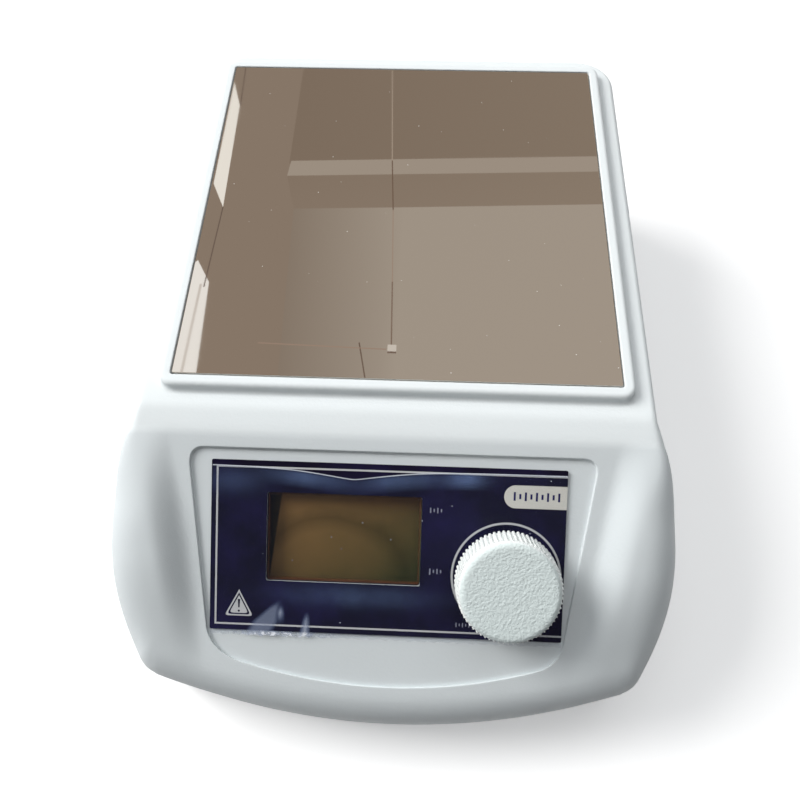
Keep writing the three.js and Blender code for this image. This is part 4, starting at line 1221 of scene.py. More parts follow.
# %% Film finish
def film_finish():
    finish = Finish("clear_film", (0.55, 0.66, 0.82), 0.12, Specular_IOR_Level=0.25)
    x, up, _ = finish.panel_mm()

    def hill(value, centre, width, power=2):
        return finish.node("ShaderNodeMath", {"operation": "POWER"}, i0=2.718,
                           i1=-(abs((value - centre) / width) ** power))

    dip = dip_depth * hill(x, dip_x, dip_width, dip_power)
    from_edge = film_edge - dip - up
    # painted highlight: the pale line along the film's loose cut edge
    edge = (abs(from_edge - 0.16) - 0.16).inside(0.08)
    wavering = finish.noise(7, 3.0, 0.6)
    # painted reflection: bluish glare patches below the loose edge, placed by position
    painted_glare = (1 - (from_edge - 2.2) / 2.6).higher(0).lower(1) * from_edge.higher(0).lower(1)
    glare_patches = hill(x, -22, 9) + hill(x, 2, 9) * 0.9 + hill(x, 19, 5) * 1.3
    painted_glare = painted_glare * glare_patches.lower(1.2) * (0.35 + wavering)
    # a faint bluish patch lower on the film
    below = hill(up, -35.6, 2.6) * hill(x, -8, 17) * 0.5 * (wavering * 1.7)
    # a faint bluish patch near the upper left corner
    corner = hill(x, -42, 7) * hill(up, -5.5, 3) * 0.6

    def fold_glint(top_x, top, lean, wide, strength):
        """A painted highlight where the film has folded: soft and upright, fading towards its tip."""
        down = top - up
        body = (abs(x - top_x + down * lean) - wide * (down / 6).higher(0).lower(1)).inside(0.8)
        return body * (down / 2.5).higher(0).lower(1) * strength

    # painted highlights on the folds of the wrinkled foot
    fold_glints = fold_glint(-29.0, -37.2, 0.62, 2.9, 0.20)
    fold_glints = fold_glints.higher(fold_glint(-28.7, -38.2, 0.05, 0.9, 0.5) * hill(up, -40.2, 2.0))
    fold_glints = fold_glints.higher(fold_glint(-21.6, -40.3, 0.1, 0.8, 0.42))
    glints = finish.noise(1.3, 2.0, 0.7)
    crumple_glints = hill(x, -29, 8.5) * ((glints - 0.46) * 8).higher(0).lower(1)
    # the foot pokes out under the label: a faint body of its own, with the painted glints where it is
    # crumpled
    foot = (up + 46.1).inside(0.4) * (0.03 + crumple_glints)
    dust = finish.specks(2.6, 0.055, 0.02, 0.22)
    # the painted glare, the painted highlights and the dust give the film body, so its bluish colour
    # shows there
    body = 0.01 + painted_glare * 0.19 + below * 0.2 + corner * 0.12 + edge * 0.42
    body = (body + fold_glints + foot + dust * 0.6).lower(0.92)
    # the pale colour: the painted highlights of the edge and the folds, and real dust
    highlight_and_dust = (edge + fold_glints * 1.6 + foot * 1.5 + dust).lower(1)
    finish.set(Base_Color=finish.mix(highlight_and_dust, (0.20, 0.30, 0.58), (0.86, 0.89, 0.95)),
               Roughness=0.1 + finish.noise(0.8) * 0.1)
    finish.bump(finish.noise(5, 3.0) + finish.noise(1.1, 2.0) * 0.15, 0.05)
    finish.show_through(body)
    return finish.material


piece(film_mesh, film_finish(), "protective_film", slot="clear_film", sharp_deg=30)
print("film", len(film_mesh.polygons), "faces")

# %% [markdown]
# ## Display window
# Under the label lies a smoked window, and some millimetres below it the display's glass. The
# gap between them is what gives a switched-off display its depth, so the window is truly
# clear and tinted, and the olive tones and the soft dark sweep are painted on the glass.


# %% Window and display glass
def node_box(node):
    """A console node's box in the console's own frame, in millimetres."""
    inverse = panel_matrix.inverted()
    points = np.array([inverse @ (v.co / MM) for v in nodes[node].data.vertices])
    return points.min(0), points.max(0)


def console_slab(node, r, bevel):
    low, high = node_box(node)
    return slab(node + "_fine", low[0], high[0], low[1], high[1], low[2], high[2], r, bevel,
                lambda point: from_panel(*point))


def lens_finish():
    finish = Finish("smoked_window", (0.30, 0.22, 0.13), 0.06, Specular_IOR_Level=0.2)
    x, up, _ = finish.panel_mm()
    scratch = finish.noise(2.0, 4.0, 0.7)
    mid_x, half_x = (window["x0"] + window["x1"]) / 2, (window["x1"] - window["x0"]) / 2
    mid_up, half_up = (window["y0"] + window["y1"]) / 2, (window["y1"] - window["y0"]) / 2
    from_edge = (half_x - abs(x - mid_x)).lower(half_up - abs(up - mid_up))
    border = (from_edge - 0.55).inside(0.35) * (0.35 + finish.noise(9, 2.0))
    finish.set(Roughness=0.05 + scratch * 0.06,
               Base_Color=finish.mix(border, (0.05, 0.045, 0.02), srgb(132, 76, 40)))
    finish.show_through(0.03 + border * 0.62, (0.93, 0.88, 0.78))
    return finish.material


def display_finish():
    finish = Finish("display_glass", srgb(110, 92, 64), 0.2, Specular_IOR_Level=0.4)
    x, up, _ = finish.panel_mm()
    across = (x - window["x0"]) / (window["x1"] - window["x0"])
    climb = (up - window["y0"]) / (window["y1"] - window["y0"])
    swirl = finish.noise(15, 3.0, 0.55)
    fall = (across * 0.75 + (1 - climb) * 0.55 - 0.15 + (swirl - 0.5) * 0.35).higher(0).lower(1)
    ground = finish.mix(fall, srgb(170, 144, 112), srgb(70, 82, 57))
    sweep_at = length((x + 16) * 0.8, (up + 30.5) * 1.15)
    sweep = (abs(sweep_at - 16.5 - (swirl - 0.5) * 5) - 1.8).inside(2.2)
    warm = ((climb - 0.80) * 6).higher(0).lower(1) * ((across - 0.35) * 3).higher(0).lower(1)
    swept = finish.mix(sweep * 0.5, ground, srgb(46, 52, 30))
    warmed = finish.mix(warm * 0.5, swept, srgb(134, 88, 56))
    # painted shade: a dark strip along the glass's left edge, widening upwards, where the opening's
    # left wall and its shade are seen
    left_wall_shade = (x - window["x0"] - 0.2 - climb * 3.2).inside(0.25)
    finish.set(Base_Color=finish.mix(left_wall_shade, warmed, srgb(38, 42, 26)), Roughness=0.14 + swirl * 0.12)
    return finish.material


piece(console_slab("display_lens", 0.5, 0.04), lens_finish(), "display_lens", slot="smoked_lens",
      sharp_deg=20)
piece(console_slab("display_glass", 0.5, 0.2), display_finish(), "display_glass", slot="display_glass",
      sharp_deg=20)
glass_low, glass_high = node_box("display_glass")
print("display glass", [round(float(v), 1) for v in glass_high - glass_low], "mm")

# %% [markdown]
# ## The knob
# The knob is a turned cap with a ribbed side, so it is made as a person would cut it: a plain
# body of revolution, and one rib repeated round it by Geometry Nodes. A rib is a thin taper
# that sinks into the body near the top, so the ribs fade out under the rounded shoulder.


# %% Bodies of revolution
def turned(name, profile, steps):
    """A closed solid of revolution. The profile runs from the axis back to the axis."""
    angles = np.linspace(0, 2 * np.pi, steps + 1)[:-1]
    rows = [np.c_[r * np.cos(angles), r * np.sin(angles), np.full(steps, z)] for r, z in profile[1:-1]]
    shell = Shell()
    shell.bridge(*rows)
    for (_, end_z), row in ((profile[0], rows[0]), (profile[-1], rows[-1])):
        shell.patch(np.vstack((row, [(0, 0, end_z)])),
                    [(i, (i + 1) % steps, steps) for i in range(steps)])
    return shell.mesh(name)


def rounding(r, z, size, start, end, count=6):
    """Profile points round a corner: a quarter circle about a centre."""
    return [(r + size * math.cos(a), z + size * math.sin(a))
            for a in np.radians(np.linspace(start, end, count))]


# %% The knob's body
knob_r, knob_top_r, knob_foot, knob_face = 13.5, 13.3, 3.4, 13.0
rib_count, rib_depth = 68, 0.4
shoulder = 1.7
face_r = knob_top_r - rib_depth
knob_profile = [(0, knob_face - 0.05), (5, knob_face - 0.02), (face_r - shoulder - 0.6, knob_face)]
knob_profile += rounding(face_r - shoulder, knob_face - shoulder, shoulder, 90, 0, 9)
knob_profile += [(knob_r - rib_depth - 0.1, knob_foot + 0.9)]
knob_profile += rounding(knob_r - rib_depth - 0.3, knob_foot + 0.3, 0.3, 0, -90, 4)
knob_profile += [(knob_r - 2.4, knob_foot), (knob_r - 2.6, knob_foot + 0.3),
                 (knob_top_r - 2.4, knob_face - 2.4), (5.4, knob_face - 2.4),
                 (5.4, knob_foot + 0.5), (5.2, knob_foot + 0.3), (3.3, knob_foot + 0.3),
                 (3.1, knob_foot + 0.5), (3.1, knob_face - 2.8), (0, knob_face - 2.8)]
knob_body = turned("knob_body", knob_profile, 128)


# %% A tree of nodes for geometry
class Recipe:
    """A Geometry Nodes tree with named inputs, run on a mesh and turned into a plain mesh."""

    def __init__(self, name, **inputs):
        self.tree = bpy.data.node_groups.new(name, "GeometryNodeTree")
        self.tree.interface.new_socket("Geometry", in_out="INPUT", socket_type="NodeSocketGeometry")
        kinds = {int: "NodeSocketInt", float: "NodeSocketFloat", bpy.types.Object: "NodeSocketObject",
                 bpy.types.Material: "NodeSocketMaterial"}
        self.identifiers, self.values = {}, inputs
        for key, value in inputs.items():
            kind = next(made for type_, made in kinds.items() if isinstance(value, type_))
            socket = self.tree.interface.new_socket(key, in_out="INPUT", socket_type=kind)
            self.identifiers[key] = socket.identifier
        self.tree.interface.new_socket("Geometry", in_out="OUTPUT", socket_type="NodeSocketGeometry")
        self.given = self.tree.nodes.new("NodeGroupInput")
        self.result = self.tree.nodes.new("NodeGroupOutput")

    def input(self, key):
        return self.given.outputs[key]

    def add(self, kind, settings=None, out=0, **sockets):
        node = self.tree.nodes.new(kind)
        for key, value in (settings or {}).items():
            setattr(node, key, value)
        for name, value in sockets.items():
            slot = slot_of(node, name)
            for item in value if isinstance(value, list) else [value]:
                if isinstance(item, bpy.types.NodeSocket):
                    self.tree.links.new(item, slot)
                else:
                    slot.default_value = item
        return node.outputs[out]

    def sum(self, operation, first, second):
        return self.add("ShaderNodeMath", {"operation": operation}, i0=first, i1=second)

    def run(self, name, mesh):
        """Evaluates the tree on a mesh and returns the result as a new mesh."""
        self.tree.links.new(self.ending, self.result.inputs[0])
        carrier = bpy.data.objects.new(name + "_carrier", mesh)
        bpy.context.scene.collection.objects.link(carrier)
        modifier = carrier.modifiers.new("recipe", "NODES")
        modifier.node_group = self.tree
        for key, value in self.values.items():
            modifier[self.identifiers[key]] = value
        bpy.context.view_layer.update()
        evaluated = carrier.evaluated_get(bpy.context.evaluated_depsgraph_get())
        made = bpy.data.meshes.new_from_object(evaluated)
        made.name = name
        carrier.modifiers.remove(modifier)
        bpy.data.objects.remove(carrier)
        return made


# %% Ribs round the knob
def knob_finish():
    finish, face = white_plastic("knob_grain", (0.755, 0.84, 0.83), 0.5, 0.0)
    out = finish.panel_mm()[2]
    # painted highlight: the ribbed side below the face is painted paler than the face
    finish.set(Base_Color=finish.mix((out - knob_face + 0.7).inside(0.3), face, (0.93, 0.96, 0.95)))
    leather = finish.node("ShaderNodeTexVoronoi", {"feature": "SMOOTH_F1"}, Vector=finish.place(),
                          Scale=1 / (0.85 * MM), Smoothness=0.6)
    finish.bump(finish.noise(0.55, 2.0, 0.5) + leather * 0.5, 0.2)
    return finish.material


def knob_with_ribs():
    recipe = Recipe("ribs_round_knob", Ribs=rib_count, Radius=knob_r - rib_depth * 0.75,
                    Length=knob_face - shoulder - knob_foot - 0.2, Thickness=rib_depth,
                    Material=knob_material)
    ring = recipe.add("GeometryNodeMeshCircle", Vertices=recipe.input("Ribs"),
                      Radius=recipe.input("Radius"))
    lean = math.atan2(knob_r - knob_top_r, knob_face - knob_foot)
    tip = recipe.sum("MULTIPLY", recipe.input("Thickness"), 0.55)
    rib = recipe.add("GeometryNodeMeshCone", {"fill_type": "NGON"}, Vertices=10, Side_Segments=3,
                     Radius_Top=tip, Radius_Bottom=recipe.input("Thickness"),
                     Depth=recipe.input("Length"))
    tilted = recipe.add("GeometryNodeTransform", Geometry=rib, Rotation=(0, -lean, 0),
                        Translation=(0, 0, knob_foot + 0.35), Scale=(1, 1.05, 1))
    normal = recipe.add("GeometryNodeInputPosition")
    turn = recipe.add("FunctionNodeAlignRotationToVector", {"axis": "X"}, Vector=normal)
    ribs = recipe.add("GeometryNodeInstanceOnPoints", Points=ring, Instance=tilted, Rotation=turn)
    whole = recipe.add("GeometryNodeJoinGeometry", Geometry=[recipe.input("Geometry"), ribs])
    real = recipe.add("GeometryNodeRealizeInstances", Geometry=whole)
    recipe.ending = recipe.add("GeometryNodeSetMaterial", Geometry=real,
                               Material=recipe.input("Material"))
    plain = knob_body.copy()
    plain.transform(Matrix.Scale(1 / MM, 4))
    made = recipe.run("ribbed_knob", plain)
    made.transform(Matrix.Scale(MM, 4) @ panel_matrix @ Matrix.Translation((knob_x, knob_up, 0)))
    return made


knob_material = knob_finish()
knob_mesh = knob_with_ribs()
knob_mesh.shade_smooth()
piece(knob_mesh, knob_material, "control_knob", slot="knob_white", sharp_deg=40)
print("the knob has", rib_count, "ribs and", len(knob_mesh.polygons), "faces")

# %% [markdown]
# ## Power inlet and switch
# Both sit in the shallow recess of the rear wall. Each is one continuous skin that goes up
# the outside, over a broken edge and down into its opening, so it is drawn as loops with the
# same number of points: squares turn into circles on the way, and nothing has to be joined.


# %% Inlet and switch frame
def rear_loop(half_x, half_z, r, y, centre_x):
    """A rounded rectangle across and up, at a depth behind the unit."""
    flat = rounded_box_loop(-half_x, half_x, -half_z, half_z, min(r, half_x - 0.01, half_z - 0.01), 4)
    return np.array([(centre_x + x, y, rear_z + z) for x, z in flat])


def rear_stack(name, centre_x, *levels):
    """A closed solid along Y. Each level is a half width, a half height, a corner and a depth."""
    return stacked(name, [rear_loop(*level, centre_x) for level in levels])


def round_level(r, y):
    return r, r, r, y


jack_mesh = rear_stack("barrel_jack", jack_x,
                       (5.2, 5.2, 0.4, 88), (5.4, 5.4, 0.5, 88.2), (5.4, 5.4, 0.5, 100.2),
                       (5.2, 5.2, 0.4, 100.4), round_level(4, 100.4), round_level(4, 103.3),
                       round_level(3.8, 103.5), round_level(3.1, 103.5), round_level(2.9, 103.2),
                       round_level(2.9, 92), round_level(1, 92), round_level(1, 101.1),
                       round_level(0.6, 101.5))
switch_mesh = rear_stack("switch_bezel", rocker_x,
                         (9.2, 6, 0.4, 90), (9.4, 6.2, 0.5, 90.2), (9.4, 6.2, 0.5, 103.6),
                         (11.6, 8.2, 1.2, 103.6), (11.6, 8.2, 1.2, 104.5), (11.4, 8.0, 1.0, 104.9),
                         (11.0, 7.6, 0.8, 105.1), (8.2, 5.2, 0.7, 105.1), (8, 5, 0.6, 104.8),
                         (8, 5, 0.6, 94))


# %% The rocker
def rocker_mesh():
    """A shallow V seen from the side, swept across with rounded ends, at its off position."""
    half, pivot_y, tilt = 7.6, 100.4, math.radians(-7)
    corners = [(-4.2, 1), (-1.5, -2), (1.5, -2), (4.2, 1), (4.2, 4.2), (0, 3.5), (-4.2, 4.2)]
    ends = ((-half, 0.35), (-half + 0.1, 0.12), (-half + 0.35, 0),
            (half - 0.35, 0), (half - 0.1, 0.12), (half, 0.35))
    rows = []
    for x, inset in ends:
        row = []
        for (a0, b0), (a1, b1) in zip(corners, corners[1:] + corners[:1]):
            for t in (0.04, 0.1, 0.3, 0.5, 0.7, 0.9, 0.96):
                a, b = a0 + (a1 - a0) * t, b0 + (b1 - b0) * t
                a, b = a * (1 - inset / 4.2), 1 + (b - 1) * (1 - inset / 3.2)
                out = b * math.cos(tilt) - a * math.sin(tilt)
                climb = b * math.sin(tilt) + a * math.cos(tilt)
                row.append((rocker_x + x, pivot_y + out, rear_z + climb))
        rows.append(np.array(row))
    return rows


def node_centre(node):
    low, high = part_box(node)
    return (low + high) / 2 / MM


# %% Black plastics of the rear
def black_plastic(name, tone=(0.018, 0.018, 0.020), grain_mm=0.5):
    """Moulded black plastic: a fine grain, and dust that lightens it in places."""
    finish = Finish(name, tone, 0.45)
    grain = finish.noise(grain_mm, 3.0, 0.6)
    dusty = finish.noise(14, 4.0, 0.6)
    finish.set(Base_Color=finish.mix(dusty * 0.6, tone, tuple(c * 2.2 + 0.01 for c in tone)),
               Roughness=0.34 + grain * 0.25)
    finish.bump(grain, 0.03)
    return finish


def rocker_finish():
    """Glossy black with the two switch marks, a bar above and a ring below, in white."""
    finish = black_plastic("rocker_gloss", (0.012, 0.012, 0.014), 1.2)
    x, _, z = (place / MM for place in finish.axes(finish.place()))
    across, climb = x - rocker_x, z - rear_z
    bar = (abs(across) - 0.25).higher(abs(climb - 2.3) - 1.0)
    ring = abs(length(across, climb + 2.2) - 1.0) - 0.22
    marks = bar.lower(ring).inside(0.05)
    wear = finish.noise(1.0, 3.0, 0.7)
    painted = finish.mix(marks * (0.6 + wear * 0.4), (0.014, 0.014, 0.016), (0.75, 0.75, 0.74))
    finish.set(Base_Color=painted, Roughness=0.18 + wear * 0.15)
    return finish.material


piece(jack_mesh, black_plastic("jack_plastic").material, "power_jack", slot="black_plastic",
      sharp_deg=30)
piece(switch_mesh, black_plastic("bezel_plastic").material, "rocker_frame", slot="black_plastic",
      sharp_deg=30)
piece(stacked("rocker_cap", rocker_mesh()), rocker_finish(), "power_rocker", slot="rocker_black",
      sharp_deg=25)

# %% [markdown]
# ## Underside
# The closing plate is a flat moulding that follows the casing's outline a little inside it.
# Its vents are two columns of equal slots. A row of bars is made by Geometry Nodes and cut
# out of the plate in one Mesh Boolean, so the number, pitch and width stay adjustable.


# %% Base plate
base_low, base_high = 5.4, 8.0
foot_places = [node_centre(n) for n in nodes if n.startswith("foot_")]
case_screw_places = [node_centre(n) for n in nodes if n.startswith("case_screw_")]
board_low, board_high = (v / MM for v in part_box("main_board"))
standoffs = [(x, y) for x in (board_low.x + 4, board_high.x - 4)
             for y in (board_low.y + 4, board_high.y - 4)]


def base_mesh():
    """A flat plate with holes, screw pockets open below, and board standoffs on top."""
    outline = grown(plan, -2.9)[::2]
    circles = {"foot": [arc(p.x, p.y, 2.2, 0, 360, 25)[:-1] for p in foot_places],
               "screw": [arc(p.x, p.y, 1.7, 0, 360, 25)[:-1] for p in case_screw_places],
               "pocket": [arc(p.x, p.y, 3.4, 0, 360, 25)[:-1] for p in case_screw_places],
               "stud": [arc(x, y, 2.8, 0, 360, 25)[:-1] for x, y in standoffs],
               "pilot": [arc(x, y, 1.1, 0, 360, 25)[:-1] for x, y in standoffs]}
    shell, bevel = Shell(), 0.3
    inset = grown(outline, -bevel)
    for z, names in ((base_low, ("foot", "pocket")), (base_high, ("foot", "screw", "stud"))):
        sheet = Sheet(inset)
        sheet.loop(inset, z)
        sheet.holes = [loop for name in names for loop in circles[name]]
        for loop in sheet.holes:
            sheet.loop(loop, z)
        shell.patch(*sheet.triangles())
    shell.bridge(raised(inset, base_low), raised(outline, base_low + bevel),
                 raised(outline, base_high - bevel), raised(inset, base_high))
    for loop in circles["foot"]:
        shell.bridge(raised(loop, base_low), raised(loop, base_high))
    for pocket_loop, hole in zip(circles["pocket"], circles["screw"]):
        shell.bridge(raised(pocket_loop, base_low), raised(pocket_loop, 6.6), raised(hole, 6.6),
                     raised(hole, base_high))
    for stud, pilot in zip(circles["stud"], circles["pilot"]):
        shell.bridge(raised(stud, base_high), raised(stud, 13.7),
                     raised(pilot, 13.7), raised(pilot, 8.4))
        shell.patch(raised(pilot, 8.4), [range(len(pilot))])
    return shell.mesh("closing_plate")


# %% Vents cut by Geometry Nodes
def vented(mesh):
    vents = Recipe("vent_slots", Rows=6, Pitch=10 * MM, Width=3 * MM, Length=26 * MM, Near=8 * MM,
                   Middle=plate_mid.y * MM)
    half_run = vents.sum("MULTIPLY", vents.sum("SUBTRACT", vents.input("Rows"), 1),
                         vents.sum("MULTIPLY", vents.input("Pitch"), 0.5))
    start = vents.add("ShaderNodeCombineXYZ", Y=vents.sum("SUBTRACT", vents.input("Middle"), half_run),
                      Z=(base_low + base_high) / 2 * MM)
    pitch = vents.add("ShaderNodeCombineXYZ", Y=vents.input("Pitch"))
    row = vents.add("GeometryNodeMeshLine", Count=vents.input("Rows"), i2=start, i3=pitch)
    size = vents.add("ShaderNodeCombineXYZ", X=vents.input("Length"), Y=vents.input("Width"), Z=6 * MM)
    slot = vents.add("GeometryNodeMeshCube", Size=size)
    centre = vents.sum("ADD", vents.input("Near"), vents.sum("MULTIPLY", vents.input("Length"), 0.5))
    columns = []
    for side in (-1, 1):
        shift = vents.add("ShaderNodeCombineXYZ", X=vents.sum("MULTIPLY", centre, side))
        columns.append(vents.add("GeometryNodeTransform", Geometry=slot, Translation=shift))
    pair = vents.add("GeometryNodeJoinGeometry", Geometry=columns)
    slots = vents.add("GeometryNodeInstanceOnPoints", Points=row, Instance=pair)
    vents.ending = vents.add("GeometryNodeMeshBoolean", {"operation": "DIFFERENCE"},
                             i0=vents.input("Geometry"), i1=slots)
    return vents.run("closing_plate_vented", mesh)


plate_below = vented(base_mesh())
plate_below.shade_smooth()
piece(plate_below, black_plastic("base_plastic", (0.055, 0.056, 0.058), 0.9).material, "base_plate",
      slot="base_grey", sharp_deg=25)
print("closing plate", len(plate_below.polygons), "faces")

# %% [markdown]
# ## Feet and screws
# Four feet and ten screws are two shapes, each turned once. One tree of nodes stands copies
# on points, with a chance turn for each from a fixed seed, because no two screws stop at the
# same angle. The cross recess is a loop whose radius follows a plus sign.


# %% Foot and screw shapes
def plus_radius(angle, arm, half_slot):
    """Distance from the middle of a plus sign to its edge in a direction."""
    c, s = abs(math.cos(angle)) + 1e-9, abs(math.sin(angle)) + 1e-9
    return max(min(arm / c, half_slot / s), min(arm / s, half_slot / c))


def screw_shape(name, head_r, head_t, shank_r, length_mm):
    """A pan-head screw with its head's face at zero and its tip above, with a rolled thread."""
    angles = np.linspace(0, 2 * np.pi, 65)[:-1]
    cross = np.array([plus_radius(a, 1.4, 0.35) for a in angles])
    ring = np.c_[np.cos(angles), np.sin(angles)]
    rows = [raised(ring * cross[:, None] * 0.6, 0.9), raised(ring * cross[:, None] * 0.95, 0.65),
            raised(ring * cross[:, None], 0.02), raised(ring * (head_r - 0.6), 0.0),
            raised(ring * (head_r - 0.2), 0.12), raised(ring * head_r, 0.4),
            raised(ring * head_r, head_t - 0.05), raised(ring * (head_r - 0.05), head_t),
            raised(ring * shank_r, head_t)]
    turns = int((length_mm - head_t - 1.2) / 0.5)
    for i in range(turns):
        z = head_t + 0.3 + i * 0.5
        rows += [raised(ring * (shank_r - 0.16), z), raised(ring * shank_r, z + 0.25)]
    rows += [raised(ring * (shank_r - 0.2), length_mm - 0.7), raised(ring * 0.3, length_mm)]
    return stacked(name, rows)


foot_profile = [(0, 1), (3.8, 1), (4, 0.8), (4, 0.25), (4.25, 0), (8.4, 0), (8.8, 0.4),
                (9.95, 4.7), (9.6, 5.1), (1.9, 5.1), (1.8, 5.3), (1.8, 10.1), (1.4, 10.5), (0, 10.5)]
foot_shape = turned("rubber_foot", foot_profile, 72)


# %% Copies on points
def on_points(name, shape, points, material, seed, axis=None, flip=False):
    """Stands a shape on points in the unit's frame, or in the console's when given its matrix."""
    source = bpy.data.objects.new(name + "_shape", shape)
    recipe = Recipe(name, Shape=source, Material=material, Seed=seed)
    info = recipe.add("GeometryNodeObjectInfo", out="Geometry", Object=recipe.input("Shape"))
    spin = recipe.add("FunctionNodeRandomValue", {"data_type": "FLOAT"}, out=1, i2=0.0, i3=2 * math.pi,
                      Seed=recipe.input("Seed"))
    turn = recipe.add("ShaderNodeCombineXYZ", Z=spin, X=math.pi if flip else 0.0)
    copies = recipe.add("GeometryNodeInstanceOnPoints", Points=recipe.input("Geometry"), Instance=info,
                        Rotation=turn)
    real = recipe.add("GeometryNodeRealizeInstances", Geometry=copies)
    recipe.ending = recipe.add("GeometryNodeSetMaterial", Geometry=real,
                               Material=recipe.input("Material"))
    places = bpy.data.meshes.new(name + "_places")
    places.from_pydata([Vector(p) * MM for p in points], [], [])
    made = recipe.run(name, places)
    bpy.data.objects.remove(source)
    if axis is not None:
        made.transform(axis)
    made.shade_smooth()
    return made


def rubber_finish():
    finish = Finish("foot_rubber", (0.022, 0.022, 0.023), 0.8, Specular_IOR_Level=0.3)
    scuff = finish.noise(4, 4.0, 0.65)
    fine = finish.noise(0.5, 2.0)
    finish.set(Base_Color=finish.mix(scuff, (0.014, 0.014, 0.015), (0.055, 0.053, 0.05)),
               Roughness=0.62 + scuff * 0.3)
    finish.bump(fine + scuff, 0.06)
    return finish.material


def metal(name, tone, rough, grain_mm=0.8, stretch=(1, 1, 1), mark=0.18):
    """Bare or plated metal: drawn lines or specks, and a slight change of tone."""
    finish = Finish(name, tone, rough, 1.0)
    place = finish.node("ShaderNodeMapping", Vector=finish.place(), Scale=stretch)
    fine = finish.noise(grain_mm, 3.0, 0.6, place)
    stain = finish.noise(9, 4.0, 0.6)
    finish.set(Base_Color=finish.mix(stain, tuple(c * (1 - mark) for c in tone), tone),
               Roughness=rough * 0.7 + fine * rough * 0.7)
    finish.bump(fine, 0.012)
    return finish.material


zinc = metal("zinc_plating", (0.62, 0.64, 0.66), 0.34, 0.7, mark=0.25)
rubber = rubber_finish()
feet = on_points("rubber_feet", foot_shape, [(p.x, p.y, 0) for p in foot_places], rubber, 3)
piece(feet, rubber, *[n for n in nodes if n.startswith("foot_")], slot="foot_rubber", sharp_deg=40)


def screws(name, prefix, sizes, seed, flip=False, axis=None):
    """All the screws of one kind as one piece, each standing where its node is."""
    members = [n for n in nodes if n.startswith(prefix)]
    inverse = axis.inverted() if axis is not None else Matrix()
    points = []
    for node in members:
        corners = [inverse @ (v.co / MM) for v in nodes[node].data.vertices]
        low = [min(c[i] for c in corners) for i in range(3)]
        high = [max(c[i] for c in corners) for i in range(3)]
        points.append(((low[0] + high[0]) / 2, (low[1] + high[1]) / 2, high[2] if flip else low[2]))
    frame_axis = Matrix.Scale(MM, 4) @ axis @ Matrix.Scale(1 / MM, 4) if axis is not None else None
    shape = screw_shape(name + "_shape", *sizes)
    made = on_points(name, shape, points, zinc, seed, frame_axis, flip)
    piece(made, zinc, *members, slot="zinc_screw", sharp_deg=30)
    print(len(members), name, "of", len(made.polygons), "faces")


screws("case_screws", "case_screw_", (2.9, 1.6, 1.2, 12.3), 11)
screws("bracket_screws", "bracket_screw_", (3.0, 1.8, 1.2, 12.1), 12)
screws("motor_screws", "motor_screw_", (2.7, 1.3, 1.2, 6.6), 13, flip=True)
screws("display_screws", "display_screw_", (2.4, 1.3, 1.0, 9.2), 14, axis=panel_matrix)

# %% [markdown]
# ## Foam tape and the parts inside
# The plate is held by a ring of black foam tape. The motor, the boards and the wiring keep the
# shapes of the frame, which are right as they are, and only need their real surfaces: drawn
# steel, turned aluminium, enamelled wire, solder mask over copper tracks, and soft plastic.


# %% Foam tape
def foam_finish():
    finish = Finish("foam_tape", (0.03, 0.03, 0.031), 0.95, Specular_IOR_Level=0.15)
    cells = finish.node("ShaderNodeTexVoronoi", Vector=finish.place(), Scale=1 / (0.6 * MM))
    finish.set(Base_Color=finish.mix(cells, (0.045, 0.045, 0.046), (0.016, 0.016, 0.017)),
               Roughness=0.85 + cells * 0.12)
    finish.bump(cells, 0.1)
    return finish.material


tape_low, tape_high = (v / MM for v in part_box("plate_foam_tape"))
tape_edge = rounded_box_loop(tape_low.x, tape_high.x, tape_low.y, tape_high.y, 3.0, 20)
tape_hole = arc(0, plate_mid.y, opening_r + 2, 0, 360, 97)[:-1]
tape_mesh = punched("foam_tape", tape_edge, [tape_hole], tape_low.z, tape_high.z,
                    lambda x, y, z: Vector((x, y, z)))
piece(tape_mesh, foam_finish(), "plate_foam_tape", slot="foam_tape", sharp_deg=30)


# %% Finishes of the inner parts
def winding_finish():
    """Enamelled copper wire: fine turns that lie side by side."""
    finish = Finish("copper_winding", (0.62, 0.24, 0.10), 0.3, 1.0)
    turns = finish.node("ShaderNodeTexWave", {"bands_direction": "Z"}, Vector=finish.place(),
                        Scale=0.31 / (0.4 * MM), Distortion=1.2, Detail=1.0)
    tone = finish.noise(3, 3.0)
    finish.set(Base_Color=finish.mix(tone, (0.45, 0.14, 0.05), (0.72, 0.32, 0.14)),
               Roughness=0.2 + turns * 0.25)
    finish.bump(turns, 0.12)
    return finish.material


def board_finish():
    """Green solder mask over copper tracks, with rows of tinned pads."""
    finish = Finish("circuit_board", (0.02, 0.12, 0.05), 0.3, Coat_Weight=0.4, Coat_Roughness=0.15)
    tracks = finish.node("ShaderNodeTexBrick", {"offset": 0.35}, out=1, Vector=finish.place(),
                         Scale=1 / (9 * MM), Mortar_Size=0.035, Brick_Width=0.9, Row_Height=0.28)
    pads = finish.node("ShaderNodeTexVoronoi", Vector=finish.place(), Scale=1 / (2.54 * MM),
                       Randomness=0.0)
    tinned = (pads - 0.24).inside(0.03) * (finish.noise(8, 1.0) - 0.55).inside(0.02)
    mask = finish.mix(tracks, (0.012, 0.085, 0.035), (0.03, 0.19, 0.08))
    finish.set(Base_Color=finish.mix(tinned, mask, (0.62, 0.62, 0.58)), Metallic=tinned * 0.9,
               Roughness=0.24 + finish.noise(2) * 0.2)
    finish.bump(tracks + tinned * 1.5, 0.03)
    return finish.material


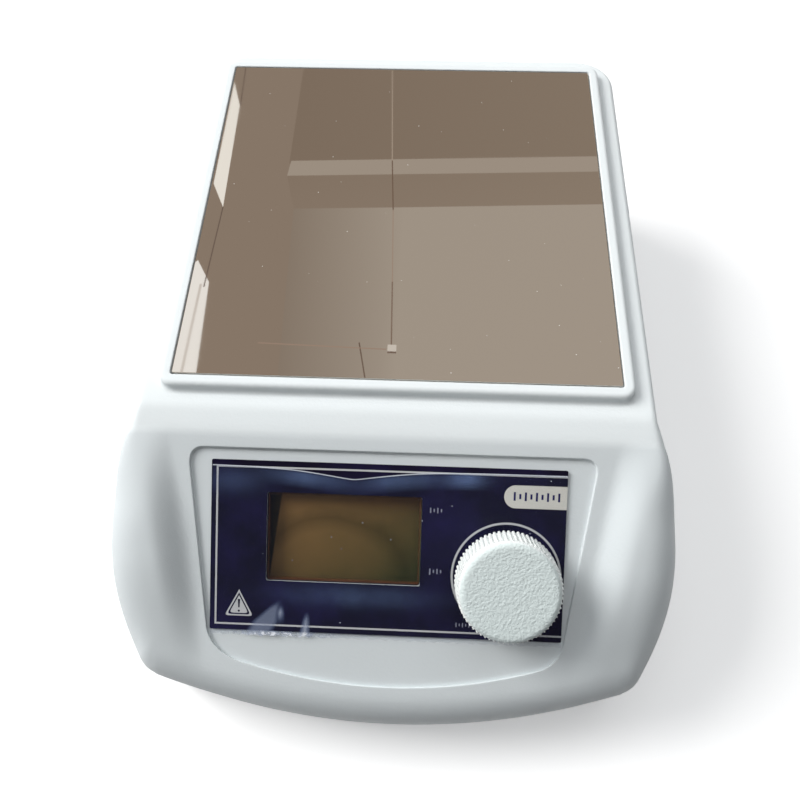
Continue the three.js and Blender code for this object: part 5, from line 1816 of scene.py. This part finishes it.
def sleeve(name, tone, rough=0.4, stripes_mm=None):
    """Soft plastic of wires and sleeves, with slight smears, and stripes where it has them."""
    finish = Finish(name, tone, rough, Specular_IOR_Level=0.45)
    smear = finish.noise(3, 3.0, 0.6)
    shade = finish.mix(smear, tuple(c * 0.8 for c in tone), tuple(min(1, c * 1.12) for c in tone))
    height = finish.noise(0.4)
    if stripes_mm:
        ridges = finish.node("ShaderNodeTexWave", {"bands_direction": "X"}, Vector=finish.place(),
                             Scale=0.31 / (stripes_mm * MM))
        height = height * 0.3 + ridges
    finish.set(Base_Color=shade, Roughness=rough * 0.75 + smear * rough * 0.5)
    finish.bump(height, 0.04)
    return finish.material


drawn_steel = metal("drawn_steel", (0.56, 0.57, 0.58), 0.32, 1.2, (1, 1, 9))
turned_aluminium = metal("turned_aluminium", (0.74, 0.75, 0.76), 0.3, 0.9, (1, 1, 12))
nickel = metal("nickel_plating", (0.70, 0.68, 0.63), 0.18, 1.5, mark=0.1)
brass = metal("brass", (0.72, 0.52, 0.22), 0.25, 1.0)
lamination = metal("rotor_lamination", (0.42, 0.42, 0.43), 0.42, 0.6, (1, 1, 16), 0.3)
inner_black = black_plastic("inner_black", (0.02, 0.02, 0.022), 0.7).material
inner_white = white_plastic("socket_white", (0.80, 0.79, 0.74), 0.7, 0.02)[0].material
diffuser = white_plastic("backlight_diffuser", (0.78, 0.80, 0.80), 0.9, 0.03)[0].material
board = board_finish()
inner_finishes = {
    drawn_steel: ("motor_bracket", "motor_can", "motor_spindle"),
    turned_aluminium: ("motor_end_cap", "magnet_holder", "regulator_heat_sink", "encoder_shaft"),
    lamination: ("rotor_core",),
    winding_finish(): ("stator",),
    nickel: ("bearing_lower", "bearing_upper", "magnet_left", "magnet_right", "encoder_nut"),
    zinc: ("holder_set_screw", "encoder_body"),
    brass: ("encoder_plunger",),
    board: ("main_board", "display_board"),
    inner_black: ("display_frame", "driver_chip"),
    sleeve("capacitor_sleeve", (0.03, 0.03, 0.05), 0.35): ("reservoir_capacitor",),
    inner_white: ("motor_socket", "power_socket", "display_socket"),
    diffuser: ("display_backlight",),
    sleeve("ribbon_grey", (0.30, 0.31, 0.33), 0.5, 0.6): ("display_ribbon",),
    sleeve("wire_red", (0.42, 0.03, 0.02)): ("motor_lead_red", "power_lead_red"),
    sleeve("wire_black", (0.015, 0.015, 0.016)): ("motor_lead_black", "power_lead_black"),
}
for material, members in inner_finishes.items():
    for node in members:
        for slot in nodes[node].material_slots:
            slot.material = material
print("finished", sum(len(members) for members in inner_finishes.values()), "parts inside")

# %% Finish
print("the frame's box", [round(v / MM, 1) for v in (*cad_low, *cad_high)])
